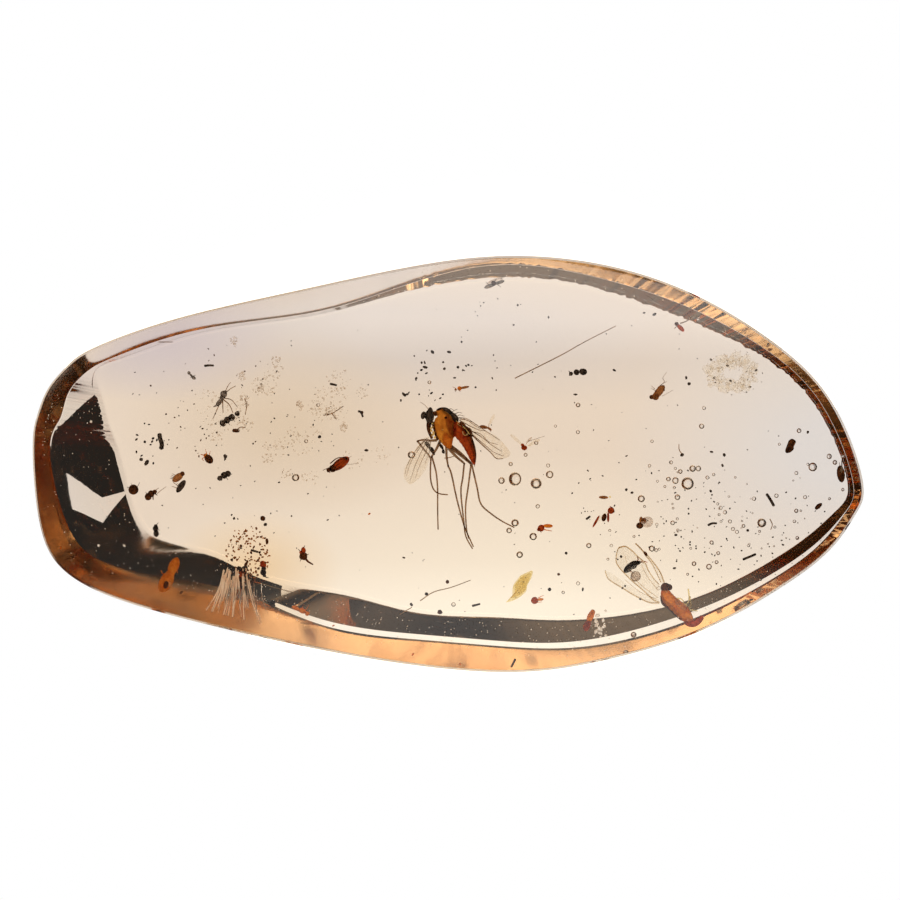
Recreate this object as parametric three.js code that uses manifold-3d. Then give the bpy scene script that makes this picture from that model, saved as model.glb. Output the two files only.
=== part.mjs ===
// A polished piece of copal with a mosquito and many smaller inclusions sealed in it.
// Millimetres, +Z up. The stone lies on its flat back at z = 0, with its length along X.
import * as THREE from 'three';
import { mergeVertices } from 'three/addons/utils/BufferGeometryUtils.js';
import Module from 'manifold-3d';

const wasm = await Module();
wasm.setup();

// ---- driving dimensions -------------------------------------------------------------
const HEIGHT = 12; // crown of the domed face above the flat back
const DOME = 0.5; // rise of the face from its rim to its crown
const SHOULDER = 10.7; // where the side starts to round over into the face
const FACE_INSET = 0.7; // the rounded rim of the face, from the outline inwards
const WALL_SLOPE = 67; // degrees, of the side between the fold and the widest line
const MAX_WAIST = 9.8; // the widest line stays below this height
const PARTING = 7; // the plane in which the clear stone is parted in two
const GAP = 0.3; // clearance of a pocket round what it holds
const STEPS_ROUND = 72;
const WING = 0.1; // thickness of a wing

// The outline, counter-clockwise from the right tip: x, y, how far in from the outline
// the flat back's edge and the fold lie there, and the slope in degrees of the bevel
// between them.
const OUTLINE = [
  [27.6, -0.9, 0.8, 0.4, 51],
  [25.5, 4.3, 0.8, 0.4, 51],
  [21.5, 8.3, 1.3, 0.7, 51],
  [16.5, 11.3, 1.6, 0.9, 51],
  [10.5, 13.3, 1.7, 1.0, 51],
  [3.5, 13.9, 1.5, 0.7, 51],
  [-3.5, 13.0, 1.2, 0.8, 50],
  [-10.5, 11.5, 1.2, 0.9, 49],
  [-18.0, 9.75, 1.2, 0.9, 47],
  [-23.5, 7.8, 1.5, 0.9, 45],
  [-26.6, 5.0, 3.4, 0.9, 43.5],
  [-27.6, 0.9, 5.7, 1.0, 42.5],
  [-27.1, -4.1, 6.3, 1.6, 42.5],
  [-25.4, -7.2, 6.1, 2.1, 43],
  [-22.0, -9.0, 5.0, 2.5, 45],
  [-16.5, -10.6, 4.0, 2.6, 48],
  [-9.5, -12.2, 4.0, 1.7, 50],
  [-2.5, -13.4, 3.6, 1.8, 51],
  [4.5, -13.9, 3.8, 1.8, 51],
  [10.5, -13.1, 3.2, 1.4, 51],
  [16.5, -11.3, 2.4, 1.1, 51],
  [21.5, -8.7, 2.0, 1.0, 51],
  [25.3, -5.9, 1.8, 1.0, 51],
  [27.2, -3.3, 1.1, 0.6, 51],
];

// ---- helpers ------------------------------------------------------------------------
function toSolid(geometry) {
  const bare = geometry.clone();
  bare.deleteAttribute('normal');
  bare.deleteAttribute('uv');
  const merged = mergeVertices(bare, 1e-4);
  const mesh = new wasm.Mesh({
    numProp: 3,
    vertProperties: new Float32Array(merged.attributes.position.array),
    triVerts: new Uint32Array(merged.index.array),
  });
  mesh.merge();
  return new wasm.Manifold(mesh);
}

function toGeometry(solid) {
  const mesh = solid.getMesh();
  const geometry = new THREE.BufferGeometry();
  geometry.setAttribute('position', new THREE.BufferAttribute(mesh.vertProperties, 3));
  geometry.setIndex(new THREE.BufferAttribute(mesh.triVerts, 1));
  geometry.computeVertexNormals();
  return geometry;
}

function join(...geometries) {
  return toGeometry(geometries.map(toSolid).reduce((whole, next) => whole.add(next)));
}

// ---- the stone ----------------------------------------------------------------------
// Control rows of the closed uniform cubic B-spline that passes through every given row.
function splineControls(rows) {
  const controls = rows.map((row) => [...row]);
  const count = rows.length;
  for (let pass = 0; pass < 30; pass += 1) {
    for (let i = 0; i < count; i += 1) {
      const before = controls[(i + count - 1) % count];
      const after = controls[(i + 1) % count];
      controls[i] = rows[i].map((value, k) => (6 * value - before[k] - after[k]) / 4);
    }
  }
  return controls;
}

const CONTROLS = splineControls(OUTLINE);
const rise = (degrees) => Math.tan(THREE.MathUtils.degToRad(degrees));

function outlineAt(turn) {
  const count = CONTROLS.length;
  const at = (((turn % 1) + 1) % 1) * count;
  const i = Math.floor(at);
  const u = at - i;
  const weights = [
    (1 - u) ** 3 / 6,
    (3 * u ** 3 - 6 * u ** 2 + 4) / 6,
    (-3 * u ** 3 + 3 * u ** 2 + 3 * u + 1) / 6,
    u ** 3 / 6,
  ];
  const near = weights.map((w, k) => CONTROLS[(i + k - 1 + count) % count]);
  const row = CONTROLS[0].map((_, k) => weights.reduce((sum, w, j) => sum + w * near[j][k], 0));
  const [x, y, back, fold, slope] = row;
  const foldHeight = (back - fold) * rise(slope);
  const waist = Math.min(foldHeight + fold * rise(WALL_SLOPE), MAX_WAIST);
  return { x, y, back, fold, foldHeight, waist };
}

// Distance from the origin to the line the outline runs along, which an inset is taken from.
function reach(turn) {
  const step = 0.025; // wide, so that small turns of the outline don't sway it
  const a = outlineAt(turn - step);
  const b = outlineAt(turn + step);
  const length = Math.hypot(b.x - a.x, b.y - a.y);
  const here = outlineAt(turn);
  return (here.x * (b.y - a.y) - here.y * (b.x - a.x)) / length;
}

// The section from the crown down to the middle of the back, as rings round the stone.
// Each ring gives its inset from the outline and its height; "all" is the middle.
const FACE = HEIGHT - DOME;
const crown = (share) => (o, all) => ({
  inset: all - (all - FACE_INSET) * share,
  z: HEIGHT - DOME * share ** 2,
});
const RINGS = [
  (o, all) => ({ inset: all, z: HEIGHT }),
  crown(0.35),
  crown(0.65),
  crown(0.88),
  crown(1),
  () => ({ inset: FACE_INSET * 0.3, z: FACE - 0.2 }),
  () => ({ inset: 0, z: SHOULDER }),
  (o) => ({ inset: 0, z: o.waist }),
  (o) => ({ inset: o.fold * 0.5, z: (o.waist + o.foldHeight) / 2 }),
  (o) => ({ inset: o.fold, z: o.foldHeight }),
  (o) => ({ inset: (o.back + o.fold) / 2, z: o.foldHeight / 2 }),
  (o) => ({ inset: o.back, z: 0 }),
  (o, all) => ({ inset: all, z: 0 }),
];

function stoneGeometry() {
  const geometry = new THREE.SphereGeometry(1, STEPS_ROUND, RINGS.length - 1);
  const { position } = geometry.attributes;
  for (let i = 0; i < position.count; i += 1) {
    const turn = (i % (STEPS_ROUND + 1)) / STEPS_ROUND;
    const ring = RINGS[Math.floor(i / (STEPS_ROUND + 1))];
    const here = outlineAt(turn);
    const all = reach(turn);
    const { inset, z } = ring(here, all);
    const share = 1 - inset / all;
    position.setXYZ(i, here.x * share, here.y * share, z);
  }
  return geometry;
}

// ---- shapes the inclusions are made of ----------------------------------------------
// Every height of an inclusion is counted from the parting plane.
// A lobe: an ellipsoid with its length along a direction in the XY plane.
function lobe(x, y, z, length, width, turn = 0, detail = 8) {
  const geometry = new THREE.SphereGeometry(1, detail, Math.max(4, detail - 2));
  geometry.rotateZ(Math.PI / 2);
  geometry.scale(length / 2, width / 2, width / 2);
  geometry.rotateZ(THREE.MathUtils.degToRad(turn));
  geometry.translate(x, y, z);
  return geometry;
}

// A limb: a thin tube through points.
function limb(points, radius, sides = 4) {
  const curve = new THREE.CatmullRomCurve3(points.map((p) => new THREE.Vector3(...p)));
  const section = new THREE.Shape(
    Array.from({ length: sides }, (_, k) => {
      const angle = (2 * Math.PI * k) / sides;
      return new THREE.Vector2(radius * Math.cos(angle), radius * Math.sin(angle));
    }),
  );
  return new THREE.ExtrudeGeometry(section, {
    extrudePath: curve,
    steps: 2 * (points.length - 1),
    bevelEnabled: false,
  });
}

// A plate: a thin flat solid inside an outline, such as a wing or a flake.
function plate(points, z, thickness = WING) {
  const shape = new THREE.Shape(points.map(([x, y]) => new THREE.Vector2(x, y)));
  const geometry = new THREE.ExtrudeGeometry(shape, { depth: thickness, bevelEnabled: false });
  geometry.translate(0, 0, z - thickness / 2);
  return geometry;
}

// ---- the mosquito -------------------------------------------------------------------
const MOSQUITO_Z = 0.6; // height of its body's axis
const MOSQUITO_LEG = 0.055;
const MOSQUITO_LEGS = [
  [[-0.3, 2.2, 0.4], [-0.9, 1.6, 0.4], [-2.0, 1.5, 0.2], [-1.1, 0.5, -0.1], [-1.2, -1.1, -0.3], [-0.8, -1.8, -0.4],
    [0.0, -2.0, -0.4]],
  [[-0.4, 1.8, 0.4], [-1.0, 0.6, 0.5], [-0.7, -0.5, 0.3], [-0.7, -1.6, 0.2], [-0.6, -4.3, 0.1]],
  [[-0.1, 1.8, 0.4], [0.1, -0.3, 0.2], [0.6, -1.9, 0.0], [1.0, -3.7, 0.0], [1.7, -5.5, -0.1]],
  [[0.0, 1.8, 0.4], [0.9, 0.2, 0.0], [0.9, -1.9, -0.4], [1.1, -3.7, -0.5], [1.3, -4.9, -0.5]],
  [[0.1, 1.8, 0.6], [1.6, -0.1, 0.9], [1.3, -2.9, 0.6], [1.25, -4.4, 0.5], [1.7, -5.3, 0.4]],
  [[1.6, -0.1, 0.9], [2.1, -1.8, 1.2], [2.3, -2.6, 1.2], [3.0, -3.3, 1.2], [4.3, -4.2, 1.2]],
];

function mosquito() {
  return join(
    lobe(-0.2, 2.55, MOSQUITO_Z, 2.3, 1.45, 115, 10),
    lobe(-1.35, 3.2, MOSQUITO_Z, 1.0, 0.75, 10),
    limb([[-1.4, 3.1, 0.5], [-1.3, 2.5, 0.5], [-1.1, 2.0, 0.4]], 0.08),
    lobe(0.75, 2.2, MOSQUITO_Z, 1.5, 0.95, -60, 10),
    lobe(1.25, 1.2, MOSQUITO_Z - 0.1, 1.8, 0.85, -65, 10),
    lobe(1.6, 0.35, MOSQUITO_Z - 0.2, 1.1, 0.6, -65),
    plate([[0.1, 2.7], [1.6, 1.9], [2.5, 1.1], [3.3, 0.35], [3.8, 0.35], [4.1, 0.6],
      [4.0, 0.9], [3.4, 1.5], [2.0, 2.5], [0.9, 3.0]], MOSQUITO_Z + 0.25),
    plate([[-0.3, 2.4], [-1.3, 1.8], [-2.0, 0.9], [-2.8, -0.9], [-2.7, -1.2], [-2.4, -1.3],
      [-1.9, -0.9], [-1.4, -0.2], [-1.0, 0.9], [-0.6, 1.8]], MOSQUITO_Z + 0.1),
    ...MOSQUITO_LEGS.map((points) => limb(points, MOSQUITO_LEG)),
  );
}

// ---- the winged insect over the lower rim -------------------------------------------
const WINGED_Z = 0.9;

function wingedInsect() {
  return join(
    lobe(14.5, -8.2, WINGED_Z, 0.75, 0.6, 30),
    lobe(14.8, -9.0, WINGED_Z, 1.2, 0.8, -55),
    lobe(15.45, -9.8, WINGED_Z, 1.9, 0.85, -50, 10),
    limb([[15.9, -10.2, WINGED_Z], [16.35, -10.45, WINGED_Z], [16.9, -10.1, WINGED_Z]], 0.2, 6),
    plate([[14.4, -8.3], [13.7, -7.5], [12.4, -5.4], [12.6, -5.3], [14.6, -8.1]], WINGED_Z + 0.25),
    plate([[14.6, -8.7], [13.9, -7.7], [13.1, -6.5], [12.7, -6.0], [12.2, -5.6], [11.7, -5.5],
      [11.3, -5.7], [11.2, -6.1], [11.3, -6.5], [11.8, -7.2], [12.6, -7.9], [14.0, -9.1],
      [14.7, -9.1]], WINGED_Z + 0.15),
    plate([[14.8, -9.3], [13.4, -9.3], [12.8, -8.95], [11.6, -8.2], [11.0, -7.8], [10.6, -7.5],
      [10.6, -7.2], [11.2, -7.5], [12.6, -8.3], [14.7, -9.0]], WINGED_Z - 0.1),
    ...[[15.2, -9.3, 16.1, -8.7], [15.5, -9.6, 16.4, -9.1], [15.7, -9.9, 16.5, -9.6]].map(
      ([x1, y1, x2, y2]) => limb([[x1, y1, WINGED_Z], [x2, y2, WINGED_Z - 0.3]], 0.06),
    ),
  );
}

// ---- the smaller inclusions ---------------------------------------------------------
// Each is one or two lobes in a row, or a plate: name, colour, x, y, z, length, width,
// direction of its head in degrees, and how many lobes its body has.
const BROWN = 0x4a2410;
const ORANGE = 0xa04a14;
const BLACK = 0x17100c;
const GREY = 0x6b625a;
const SMALL = [
  ['pinhole_beetle', ORANGE, -18.45, -7.35, 1.0, 2.45, 0.8, 63, 2],
  ['grey_midge', GREY, -15.1, 4.2, -1.2, 1.2, 0.45, 40, 2],
  ['black_weevil', BLACK, -14.5, 2.95, -0.2, 1.25, 0.45, 30, 2],
  ['short_dark_twig', BLACK, -19.1, 1.5, 0.2, 1.05, 0.3, -83, 1],
  ['bristly_beetle', BROWN, -15.9, 0.35, 0.5, 0.75, 0.5, 135, 1],
  ['bent_black_beetle', BLACK, -14.9, -0.8, 0.0, 0.9, 0.45, 28, 2],
  ['brown_beetle_of_pair', BROWN, -17.9, -0.8, 0.6, 0.85, 0.5, 38, 1],
  ['dark_beetle_of_pair', BLACK, -17.65, -1.5, -0.4, 0.95, 0.4, 55, 1],
  ['round_seed', BROWN, -20.9, -1.7, 0.4, 0.62, 0.6, 0, 1],
  ['stout_beetle', BROWN, -19.75, -2.1, 0.0, 0.85, 0.55, 35, 2],
  ['small_black_fly', BLACK, -19.4, -4.35, 0.3, 0.8, 0.4, 80, 2],
  ['two_headed_debris', BROWN, -13.85, -7.9, -0.2, 2.1, 0.5, 90, 2],
  ['black_red_insect', BLACK, -12.25, -7.0, 0.4, 1.0, 0.45, 80, 2],
  ['brown_ant', BROWN, -9.6, -5.95, 0.3, 1.1, 0.6, 70, 2],
  ['three_lobed_seed', BLACK, -11.7, -9.25, 0.2, 0.55, 0.4, 20, 1],
  ['orange_midge', ORANGE, -9.8, -9.65, 0.8, 1.2, 0.4, -20, 2],
  ['grey_blade', GREY, 3.1, 11.9, 0.0, 1.5, 0.3, 15, 1],
  ['black_ant', BLACK, 8.7, 6.1, 0.5, 1.2, 0.42, 8, 2],
  ['little_orange_fly', ORANGE, 0.95, 5.0, 0.2, 0.95, 0.3, 10, 2],
  ['long_brown_beetle', BROWN, -7.35, 0.05, 0.6, 1.4, 0.6, 25, 2],
  ['pale_gnat', GREY, 2.65, 2.3, -1.1, 0.7, 0.35, 60, 1],
  ['long_winged_gnat', GREY, 5.1, 1.1, -0.8, 0.7, 0.35, 70, 1],
  ['red_gnat', ORANGE, 6.35, -4.2, 0.4, 0.8, 0.4, -10, 2],
  ['orange_splinter', ORANGE, 10.4, -2.2, 0.0, 0.7, 0.25, 0, 1],
  ['orange_brown_fly', BROWN, 10.5, -3.3, 0.5, 1.1, 0.45, 35, 2],
  ['brown_tuft', BROWN, 13.0, -3.9, 0.1, 0.85, 0.75, 50, 1],
  ['brown_fly', BROWN, 14.0, 4.75, 0.4, 1.2, 0.6, 215, 2],
  ['red_brown_gnat', BROWN, 15.45, 9.1, 0.2, 0.7, 0.4, 130, 2],
  ['bark_block', BLACK, 22.8, 1.2, 0.3, 1.0, 0.6, 68, 1],
  ['rim_beetle', BROWN, 25.85, -0.5, 0.5, 1.2, 0.5, 85, 2],
  ['thin_splinter', BLACK, 21.5, -2.35, -0.2, 1.0, 0.18, -57, 1],
  ['dark_splinter', BLACK, 20.1, -6.15, 0.2, 0.85, 0.2, 20, 1],
  ['red_insect_at_rim', ORANGE, 5.95, -9.1, 0.3, 0.85, 0.35, 15, 2],
  ['orange_grub', ORANGE, 9.45, -10.4, 0.6, 1.5, 0.45, 68, 2],
  ['beetle_under_wing', BLACK, 12.25, -6.8, 0.2, 1.1, 0.45, 33, 2],
  ['pink_seed', BROWN, 12.5, -7.6, 0.2, 0.6, 0.58, 0, 1],
  ['grey_springtail', GREY, -17.1, 5.8, -1.0, 0.8, 0.3, -45, 1],
];

function smallInclusion([, , x, y, z, length, width, turn, lobes]) {
  if (lobes === 1) {
    return join(lobe(x, y, z, length, width, turn, 6));
  }
  const angle = THREE.MathUtils.degToRad(turn);
  const ahead = (share) => [x + length * share * Math.cos(angle), y + length * share * Math.sin(angle)];
  return join(
    lobe(...ahead(-0.15), z, length * 0.7, width, turn, 6),
    lobe(...ahead(0.32), z, length * 0.36, width * 0.75, turn, 6),
  );
}

const FLAKE_OUTLINE = [[5.4, -7.3], [4.9, -7.2], [4.4, -8.0], [4.3, -8.8], [4.6, -9.0], [5.2, -8.4]];
const PATCH_OUTLINE = [
  [17.1, 6.6], [17.8, 7.4], [19.2, 7.5], [20.4, 7.1], [21.2, 6.2], [21.4, 4.8], [20.6, 4.5],
  [19.7, 4.9], [18.6, 4.7], [17.5, 5.2],
];
const PLATES = [
  ['pale_flake', 0xd8b878, FLAKE_OUTLINE, 0.1],
  ['frilly_film', 0xa89a90, PATCH_OUTLINE, 0.0],
];

// ---- pockets and the clear stone ----------------------------------------------------
// A pocket is an upright shaft round a thing, that crosses the parting plane.
const MOSQUITO_POCKET = [
  [-2.3, 3.9], [0.3, 4.1], [4.5, 1.4], [4.8, -4.5], [1.9, -6.0], [-1.2, -5.0], [-3.2, -1.6], [-3.1, -0.6],
];
const WINGED_POCKET = [
  [14.6, -7.3], [12.7, -4.8], [11.4, -5.1], [10.7, -5.6], [10.1, -7.0], [10.4, -8.2], [13.2, -9.9],
  [15.4, -10.8], [16.3, -10.9], [17.3, -10.4], [17.0, -8.3], [15.4, -7.6],
];

function shaft(points, { min, max }) {
  const low = Math.min(min.z, 0) - GAP;
  const high = Math.max(max.z, 0) + GAP;
  return plate(points, (low + high) / 2, high - low);
}

function ovalAround(x, y, length, width, turn, sides = 8) {
  const angle = THREE.MathUtils.degToRad(turn);
  const corner = 1 / Math.cos(Math.PI / sides); // the flats of the shaft keep the gap
  return Array.from({ length: sides }, (_, k) => {
    const around = (2 * Math.PI * (k + 0.5)) / sides;
    const along = (length / 2 + GAP) * corner * Math.cos(around);
    const across = (width / 2 + GAP) * corner * Math.sin(around);
    return [
      x + along * Math.cos(angle) - across * Math.sin(angle),
      y + along * Math.sin(angle) + across * Math.cos(angle),
    ];
  });
}

// The outline of a plate moved outwards from its middle by the gap.
function widened(points) {
  const middle = [0, 1].map((k) => points.reduce((sum, p) => sum + p[k], 0) / points.length);
  return points.map(([x, y]) => {
    const away = Math.hypot(x - middle[0], y - middle[1]);
    const share = 1 + (1.5 * GAP) / away;
    return [middle[0] + (x - middle[0]) * share, middle[1] + (y - middle[1]) * share];
  });
}

function inclusions() {
  return [
    { name: 'mosquito', color: 0x6e2c10, geometry: mosquito(), around: MOSQUITO_POCKET },
    { name: 'winged_insect', color: 0xb35a18, geometry: wingedInsect(), around: WINGED_POCKET },
    ...SMALL.map((row) => {
      const [name, color, x, y, , length, width, turn] = row;
      return { name, color, geometry: smallInclusion(row), around: ovalAround(x, y, length, width, turn) };
    }),
    ...PLATES.map(([name, color, points, z]) => (
      { name, color, geometry: join(plate(points, z, 0.16)), around: widened(points) }
    )),
  ];
}

function pocketFor({ geometry, around }) {
  geometry.computeBoundingBox();
  return toSolid(shaft(around, geometry.boundingBox).translate(0, 0, PARTING));
}

function slab(low, high) {
  const box = new THREE.BoxGeometry(80, 60, high - low);
  box.translate(0, 0, (low + high) / 2);
  return toSolid(box);
}

const copal = new THREE.MeshStandardMaterial({
  color: 0xf2cf9a,
  roughness: 0.05,
  metalness: 0,
  transparent: true,
  opacity: 0.35,
});

const held = inclusions();
const hollow = held.map(pocketFor).reduce((all, next) => all.add(next));
const stone = toSolid(stoneGeometry()).subtract(hollow);
const halves = [
  ['copal_lower', stone.subtract(slab(PARTING, HEIGHT + 2))],
  ['copal_upper', stone.subtract(slab(-2, PARTING))],
];

const group = new THREE.Group();
for (const [name, solid] of halves) {
  const mesh = new THREE.Mesh(toGeometry(solid), copal);
  mesh.name = name;
  group.add(mesh);
}
for (const { name, color, geometry } of held) {
  const finish = new THREE.MeshStandardMaterial({ color, roughness: 0.45, metalness: 0 });
  const mesh = new THREE.Mesh(geometry, finish);
  mesh.name = name;
  mesh.position.z = PARTING;
  group.add(mesh);
}

export default group;
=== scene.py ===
"""The looks of a polished piece of copal with a mosquito and other small things sealed in it.

Lengths in the tables are millimetres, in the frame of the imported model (+Z up, the stone
lying on its flat back at z = 0). A mesh is turned into metres once, when it is made.
"""
import math
import random

import bpy
import numpy as np
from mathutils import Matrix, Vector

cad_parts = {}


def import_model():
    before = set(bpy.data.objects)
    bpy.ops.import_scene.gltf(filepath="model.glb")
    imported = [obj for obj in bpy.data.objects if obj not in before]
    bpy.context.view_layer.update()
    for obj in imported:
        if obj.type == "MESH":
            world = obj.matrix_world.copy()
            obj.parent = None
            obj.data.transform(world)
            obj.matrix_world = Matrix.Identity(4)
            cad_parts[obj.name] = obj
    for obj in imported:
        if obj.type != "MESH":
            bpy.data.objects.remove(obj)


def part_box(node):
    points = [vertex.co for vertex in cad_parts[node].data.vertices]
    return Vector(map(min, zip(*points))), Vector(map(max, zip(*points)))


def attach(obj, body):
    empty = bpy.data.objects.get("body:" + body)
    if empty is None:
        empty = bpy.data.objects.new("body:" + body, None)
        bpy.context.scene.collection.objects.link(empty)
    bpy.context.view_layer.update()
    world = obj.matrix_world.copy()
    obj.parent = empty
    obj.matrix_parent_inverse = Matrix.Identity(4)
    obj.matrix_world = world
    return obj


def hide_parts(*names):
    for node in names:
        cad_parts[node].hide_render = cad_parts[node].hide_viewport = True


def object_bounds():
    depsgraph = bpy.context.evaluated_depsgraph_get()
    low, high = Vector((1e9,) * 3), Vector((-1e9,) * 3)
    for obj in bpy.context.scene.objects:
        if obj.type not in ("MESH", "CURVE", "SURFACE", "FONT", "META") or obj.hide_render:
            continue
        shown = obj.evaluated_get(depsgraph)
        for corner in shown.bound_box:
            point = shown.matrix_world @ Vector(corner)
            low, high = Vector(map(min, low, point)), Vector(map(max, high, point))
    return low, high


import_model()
cad_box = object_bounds()

MM = 0.001
HEIGHT = cad_box[1][2] / MM  # the crown of the domed face
DOME = 0.5  # rise of the face from its rim to its crown
SHOULDER = 11.2  # where the side starts to round over into the face
FACE_INSET = 0.2  # the small round of the face's rim
SCRATCH = 0.05  # how uneven the edge of the back is
SCRATCHED_TURN, SCRATCHED_REACH = 0.12, 0.1  # where round the outline it is so, and how far
LEAN = 0.07  # how far the side leans in on its way up to the shoulder
SKIN = 0.03  # the clear piece lies this far inside the CAD solid
WORN = 0.11  # roughness of the stone's dull side, against its polished faces
WORN_MIDDLE, WORN_RADII = (-20.0, -7.5), (7.0, 4.5)  # the dull place on the bevel at the lower left
MAX_WAIST = 9.8  # the widest line lies no higher than this
STEPS_ROUND = 720  # points round the outline
SPLINE_PASSES = 30  # enough for the spline's controls to settle
ROOM, FILL, LAMP = 0.02, 0.18, 2.6  # how bright the room, the high soft light and the lamps are
NEAR_LAMP = 0.5  # the near lamp's brightness against the far one's
LIT = 1.3  # brightness of the soft light from above on the small things in the stone
HORIZON = 0.1  # brightness of the pale wall that shows through the stone from the side
# the crack's pale streaks paint the light that the crack reflects
CRACK_BLADES, CRACK_STREAKS = 16, 34  # hollow blades of the crack, and pale streaks among them

# The light table's size as shares of the stone's outline. Its bright strip starts at STRIP_NEAR
# on the near side and at STRIP_FAR on the far side, and it ends at TABLE_NEAR and TABLE_FAR.
TABLE_MARGIN = 1.005
STRIP_NEAR, STRIP_FAR = 1.0, 0.92
TABLE_NEAR, TABLE_FAR = 1.04, 1.4
TABLE_DROP = 0.1  # how far its top lies under the stone
TABLE_COLOR = (0.03, 0.03, 0.03, 1)  # the board itself, apart from its glow
TABLE_WHITE = (1.8, 1.6, 1.4)  # the glow of its bright strip

# Its glow under the stone, dimmed there as a painted shadow of the stone, and soft spots of painted light
# and shade on top: middle, radii, share that is even, colour.
TABLE_GLOW_IN_PAINTED_SHADOW = (0.90, 0.87, 0.87)
TABLE_PAINTED_LIGHT_AND_SHADE_SPOTS = [
    ((3.0, -12.0), (30.0, 13.0), 0.1, (1.12, 1.15, 1.14)),
    ((-4.0, 8.6), (34.0, 5.2), 0.3, (0.78, 0.79, 0.87)),
    ((27.0, 1.0), (16.0, 11.0), 0.2, (0.83, 0.9, 1.06)),
    ((-11.0, 2.5), (11.0, 6.5), 0.1, (0.81, 0.75, 0.69)),
    ((-13.0, -7.0), (6.0, 4.0), 0.1, (0.93, 0.79, 0.6)),
    ((-19.5, 8.5), (9.0, 4.5), 0.2, (0.72, 0.72, 0.88)),
]

# The outline, counter-clockwise from the right tip: x, y, how far in from it the flat
# back's edge and the fold lie, the slopes in degrees of the bevel between them and of the
# side between the fold and the widest line, and the width of the ledge along the fold.
OUTLINE = [
    (27.6, -0.9, 0.8, 0.4, 51, 66, 0.02),
    (25.5, 4.3, 0.95, 0.5, 51, 65, 0.02),
    (21.5, 8.3, 1.35, 0.7, 51, 65, 0.02),
    (16.5, 11.3, 1.9, 1.0, 51, 65, 0.02),
    (10.5, 13.3, 1.7, 1.0, 51, 66.5, 0.02),
    (3.5, 13.9, 1.6, 0.7, 50, 69, 0.02),
    (-3.5, 13.0, 1.75, 1.3, 46, 72.5, 0.02),
    (-10.5, 11.5, 2.0, 1.75, 38, 73.5, 0.02),
    (-18.0, 9.75, 1.5, 1.2, 34, 75.5, 0.02),
    (-23.5, 7.8, 1.5, 1.15, 34, 77.5, 0.04),
    (-25.33, 6.54, 1.6, 1.1, 34, 76, 0.04),
    (-26.6, 5.0, 3.4, 1.15, 38, 75.5, 0.05),
    (-27.33, 3.14, 4.7, 1.35, 38, 68.5, 0.06),
    (-27.6, 0.9, 5.7, 1.0, 38, 66.5, 0.06),
    (-27.1, -4.1, 6.3, 1.6, 38, 66, 0.02),
    (-25.4, -7.2, 6.1, 2.1, 33, 66, 0.02),
    (-22.0, -9.0, 5.0, 2.5, 30, 66, 0.04),
    (-16.5, -10.6, 4.0, 2.6, 31, 65, 0.15),
    (-9.5, -12.2, 4.0, 1.7, 50, 68.3, 0.35),
    (-2.5, -13.4, 3.6, 1.8, 51, 67, 0.35),
    (4.5, -13.9, 3.8, 1.8, 51, 67, 0.35),
    (10.5, -13.1, 3.2, 1.2, 51, 67, 0.45),
    (16.5, -11.3, 2.5, 1.0, 51, 67, 0.5),
    (21.5, -8.7, 2.0, 0.8, 51, 67, 0.35),
    (25.3, -5.9, 1.75, 0.65, 51, 67, 0.25),
    (27.2, -3.3, 1.1, 0.45, 51, 66, 0.05),
]
LEDGE_SLOPE = 24  # degrees
HALF_LENGTH = max(row[0] for row in OUTLINE)
HALF_WIDTH = max(row[1] for row in OUTLINE)

# How far from each corner of the edge's section, from the flat back up to the face, its
# rounding starts.
ROUNDINGS = [0.8, 0.1, 0.03, 0.04, FACE_INSET, FACE_INSET]

# The light table is cut back to the flat of the stone between these turns of the outline,
# which is under the left end and the lower left edge. The dark crescent there is the dark
# room beyond it. A tongue of the table stays and shows as the light patch in the crescent,
# and so does a corner of it, the shelf, which shows as the pale wedge above that patch.
CUT_START, CUT_END, CUT_SOFT = 0.405, 0.67, 0.008
TONGUE = [(-21.4, -1.75), (-22.2, -2.0), (-23.7, -0.1), (-23.3, -2.6), (-22.1, -3.6), (-21.35, -1.95)]
TONGUE_SIDE = -15  # the outline to the left of this makes way for the tongue
SHELF = [(-23.0, 5.3), (-24.4, 2.7), (-25.0, 1.5), (-26.3, 1.9), (-26.6, 5.3)]


# ---- mesh kit -----------------------------------------------------------------------
def new_object(name, data):
    """An object made of data, in the scene."""
    made = bpy.data.objects.new(name, data)
    bpy.context.scene.collection.objects.link(made)
    return made


class Shape:
    """Closed meshes gathered into one piece. Each part keeps the number of its material."""

    def __init__(self):
        self.points, self.faces, self.slots = [], [], []
        self.count = 0

    def add(self, points, faces, slot=0):
        """Takes in one more closed part."""
        self.points.append(np.asarray(points, float))
        self.faces += [tuple(int(i) + self.count for i in face) for face in faces]
        self.slots += [slot] * len(faces)
        self.count += len(points)
        return self

    def build(self, name, materials, replaces=(), slot=None):
        """The gathered parts as one object on the model's only body."""
        mesh = bpy.data.meshes.new(name)
        mesh.from_pydata((np.vstack(self.points) * MM).tolist(), [], self.faces)
        for material in materials:
            mesh.materials.append(material)
        mesh.polygons.foreach_set("material_index", self.slots)
        mesh.polygons.foreach_set("use_smooth", [True] * len(mesh.polygons))
        mesh.update()
        piece = new_object(name, mesh)
        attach(piece, "root")
        if replaces:
            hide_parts(*replaces)
        return piece


def ring_faces(rings, around, start=0):
    """Quads between rings of points that follow each other."""
    faces = []
    for r in range(rings - 1):
        low, high = start + r * around, start + (r + 1) * around
        faces += [(low + i, low + (i + 1) % around, high + (i + 1) % around, high + i)
                  for i in range(around)]
    return faces


def closed_rings(rings, first, last):
    """Points and faces of a body made of rings between two end points."""
    around = len(rings[0])
    points = np.vstack([*rings, [first], [last]])
    count = len(rings) * around
    top = (len(rings) - 1) * around
    faces = ring_faces(len(rings), around)
    faces += [((i + 1) % around, i, count) for i in range(around)]
    faces += [(top + i, top + (i + 1) % around, count + 1) for i in range(around)]
    return points, faces


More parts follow.
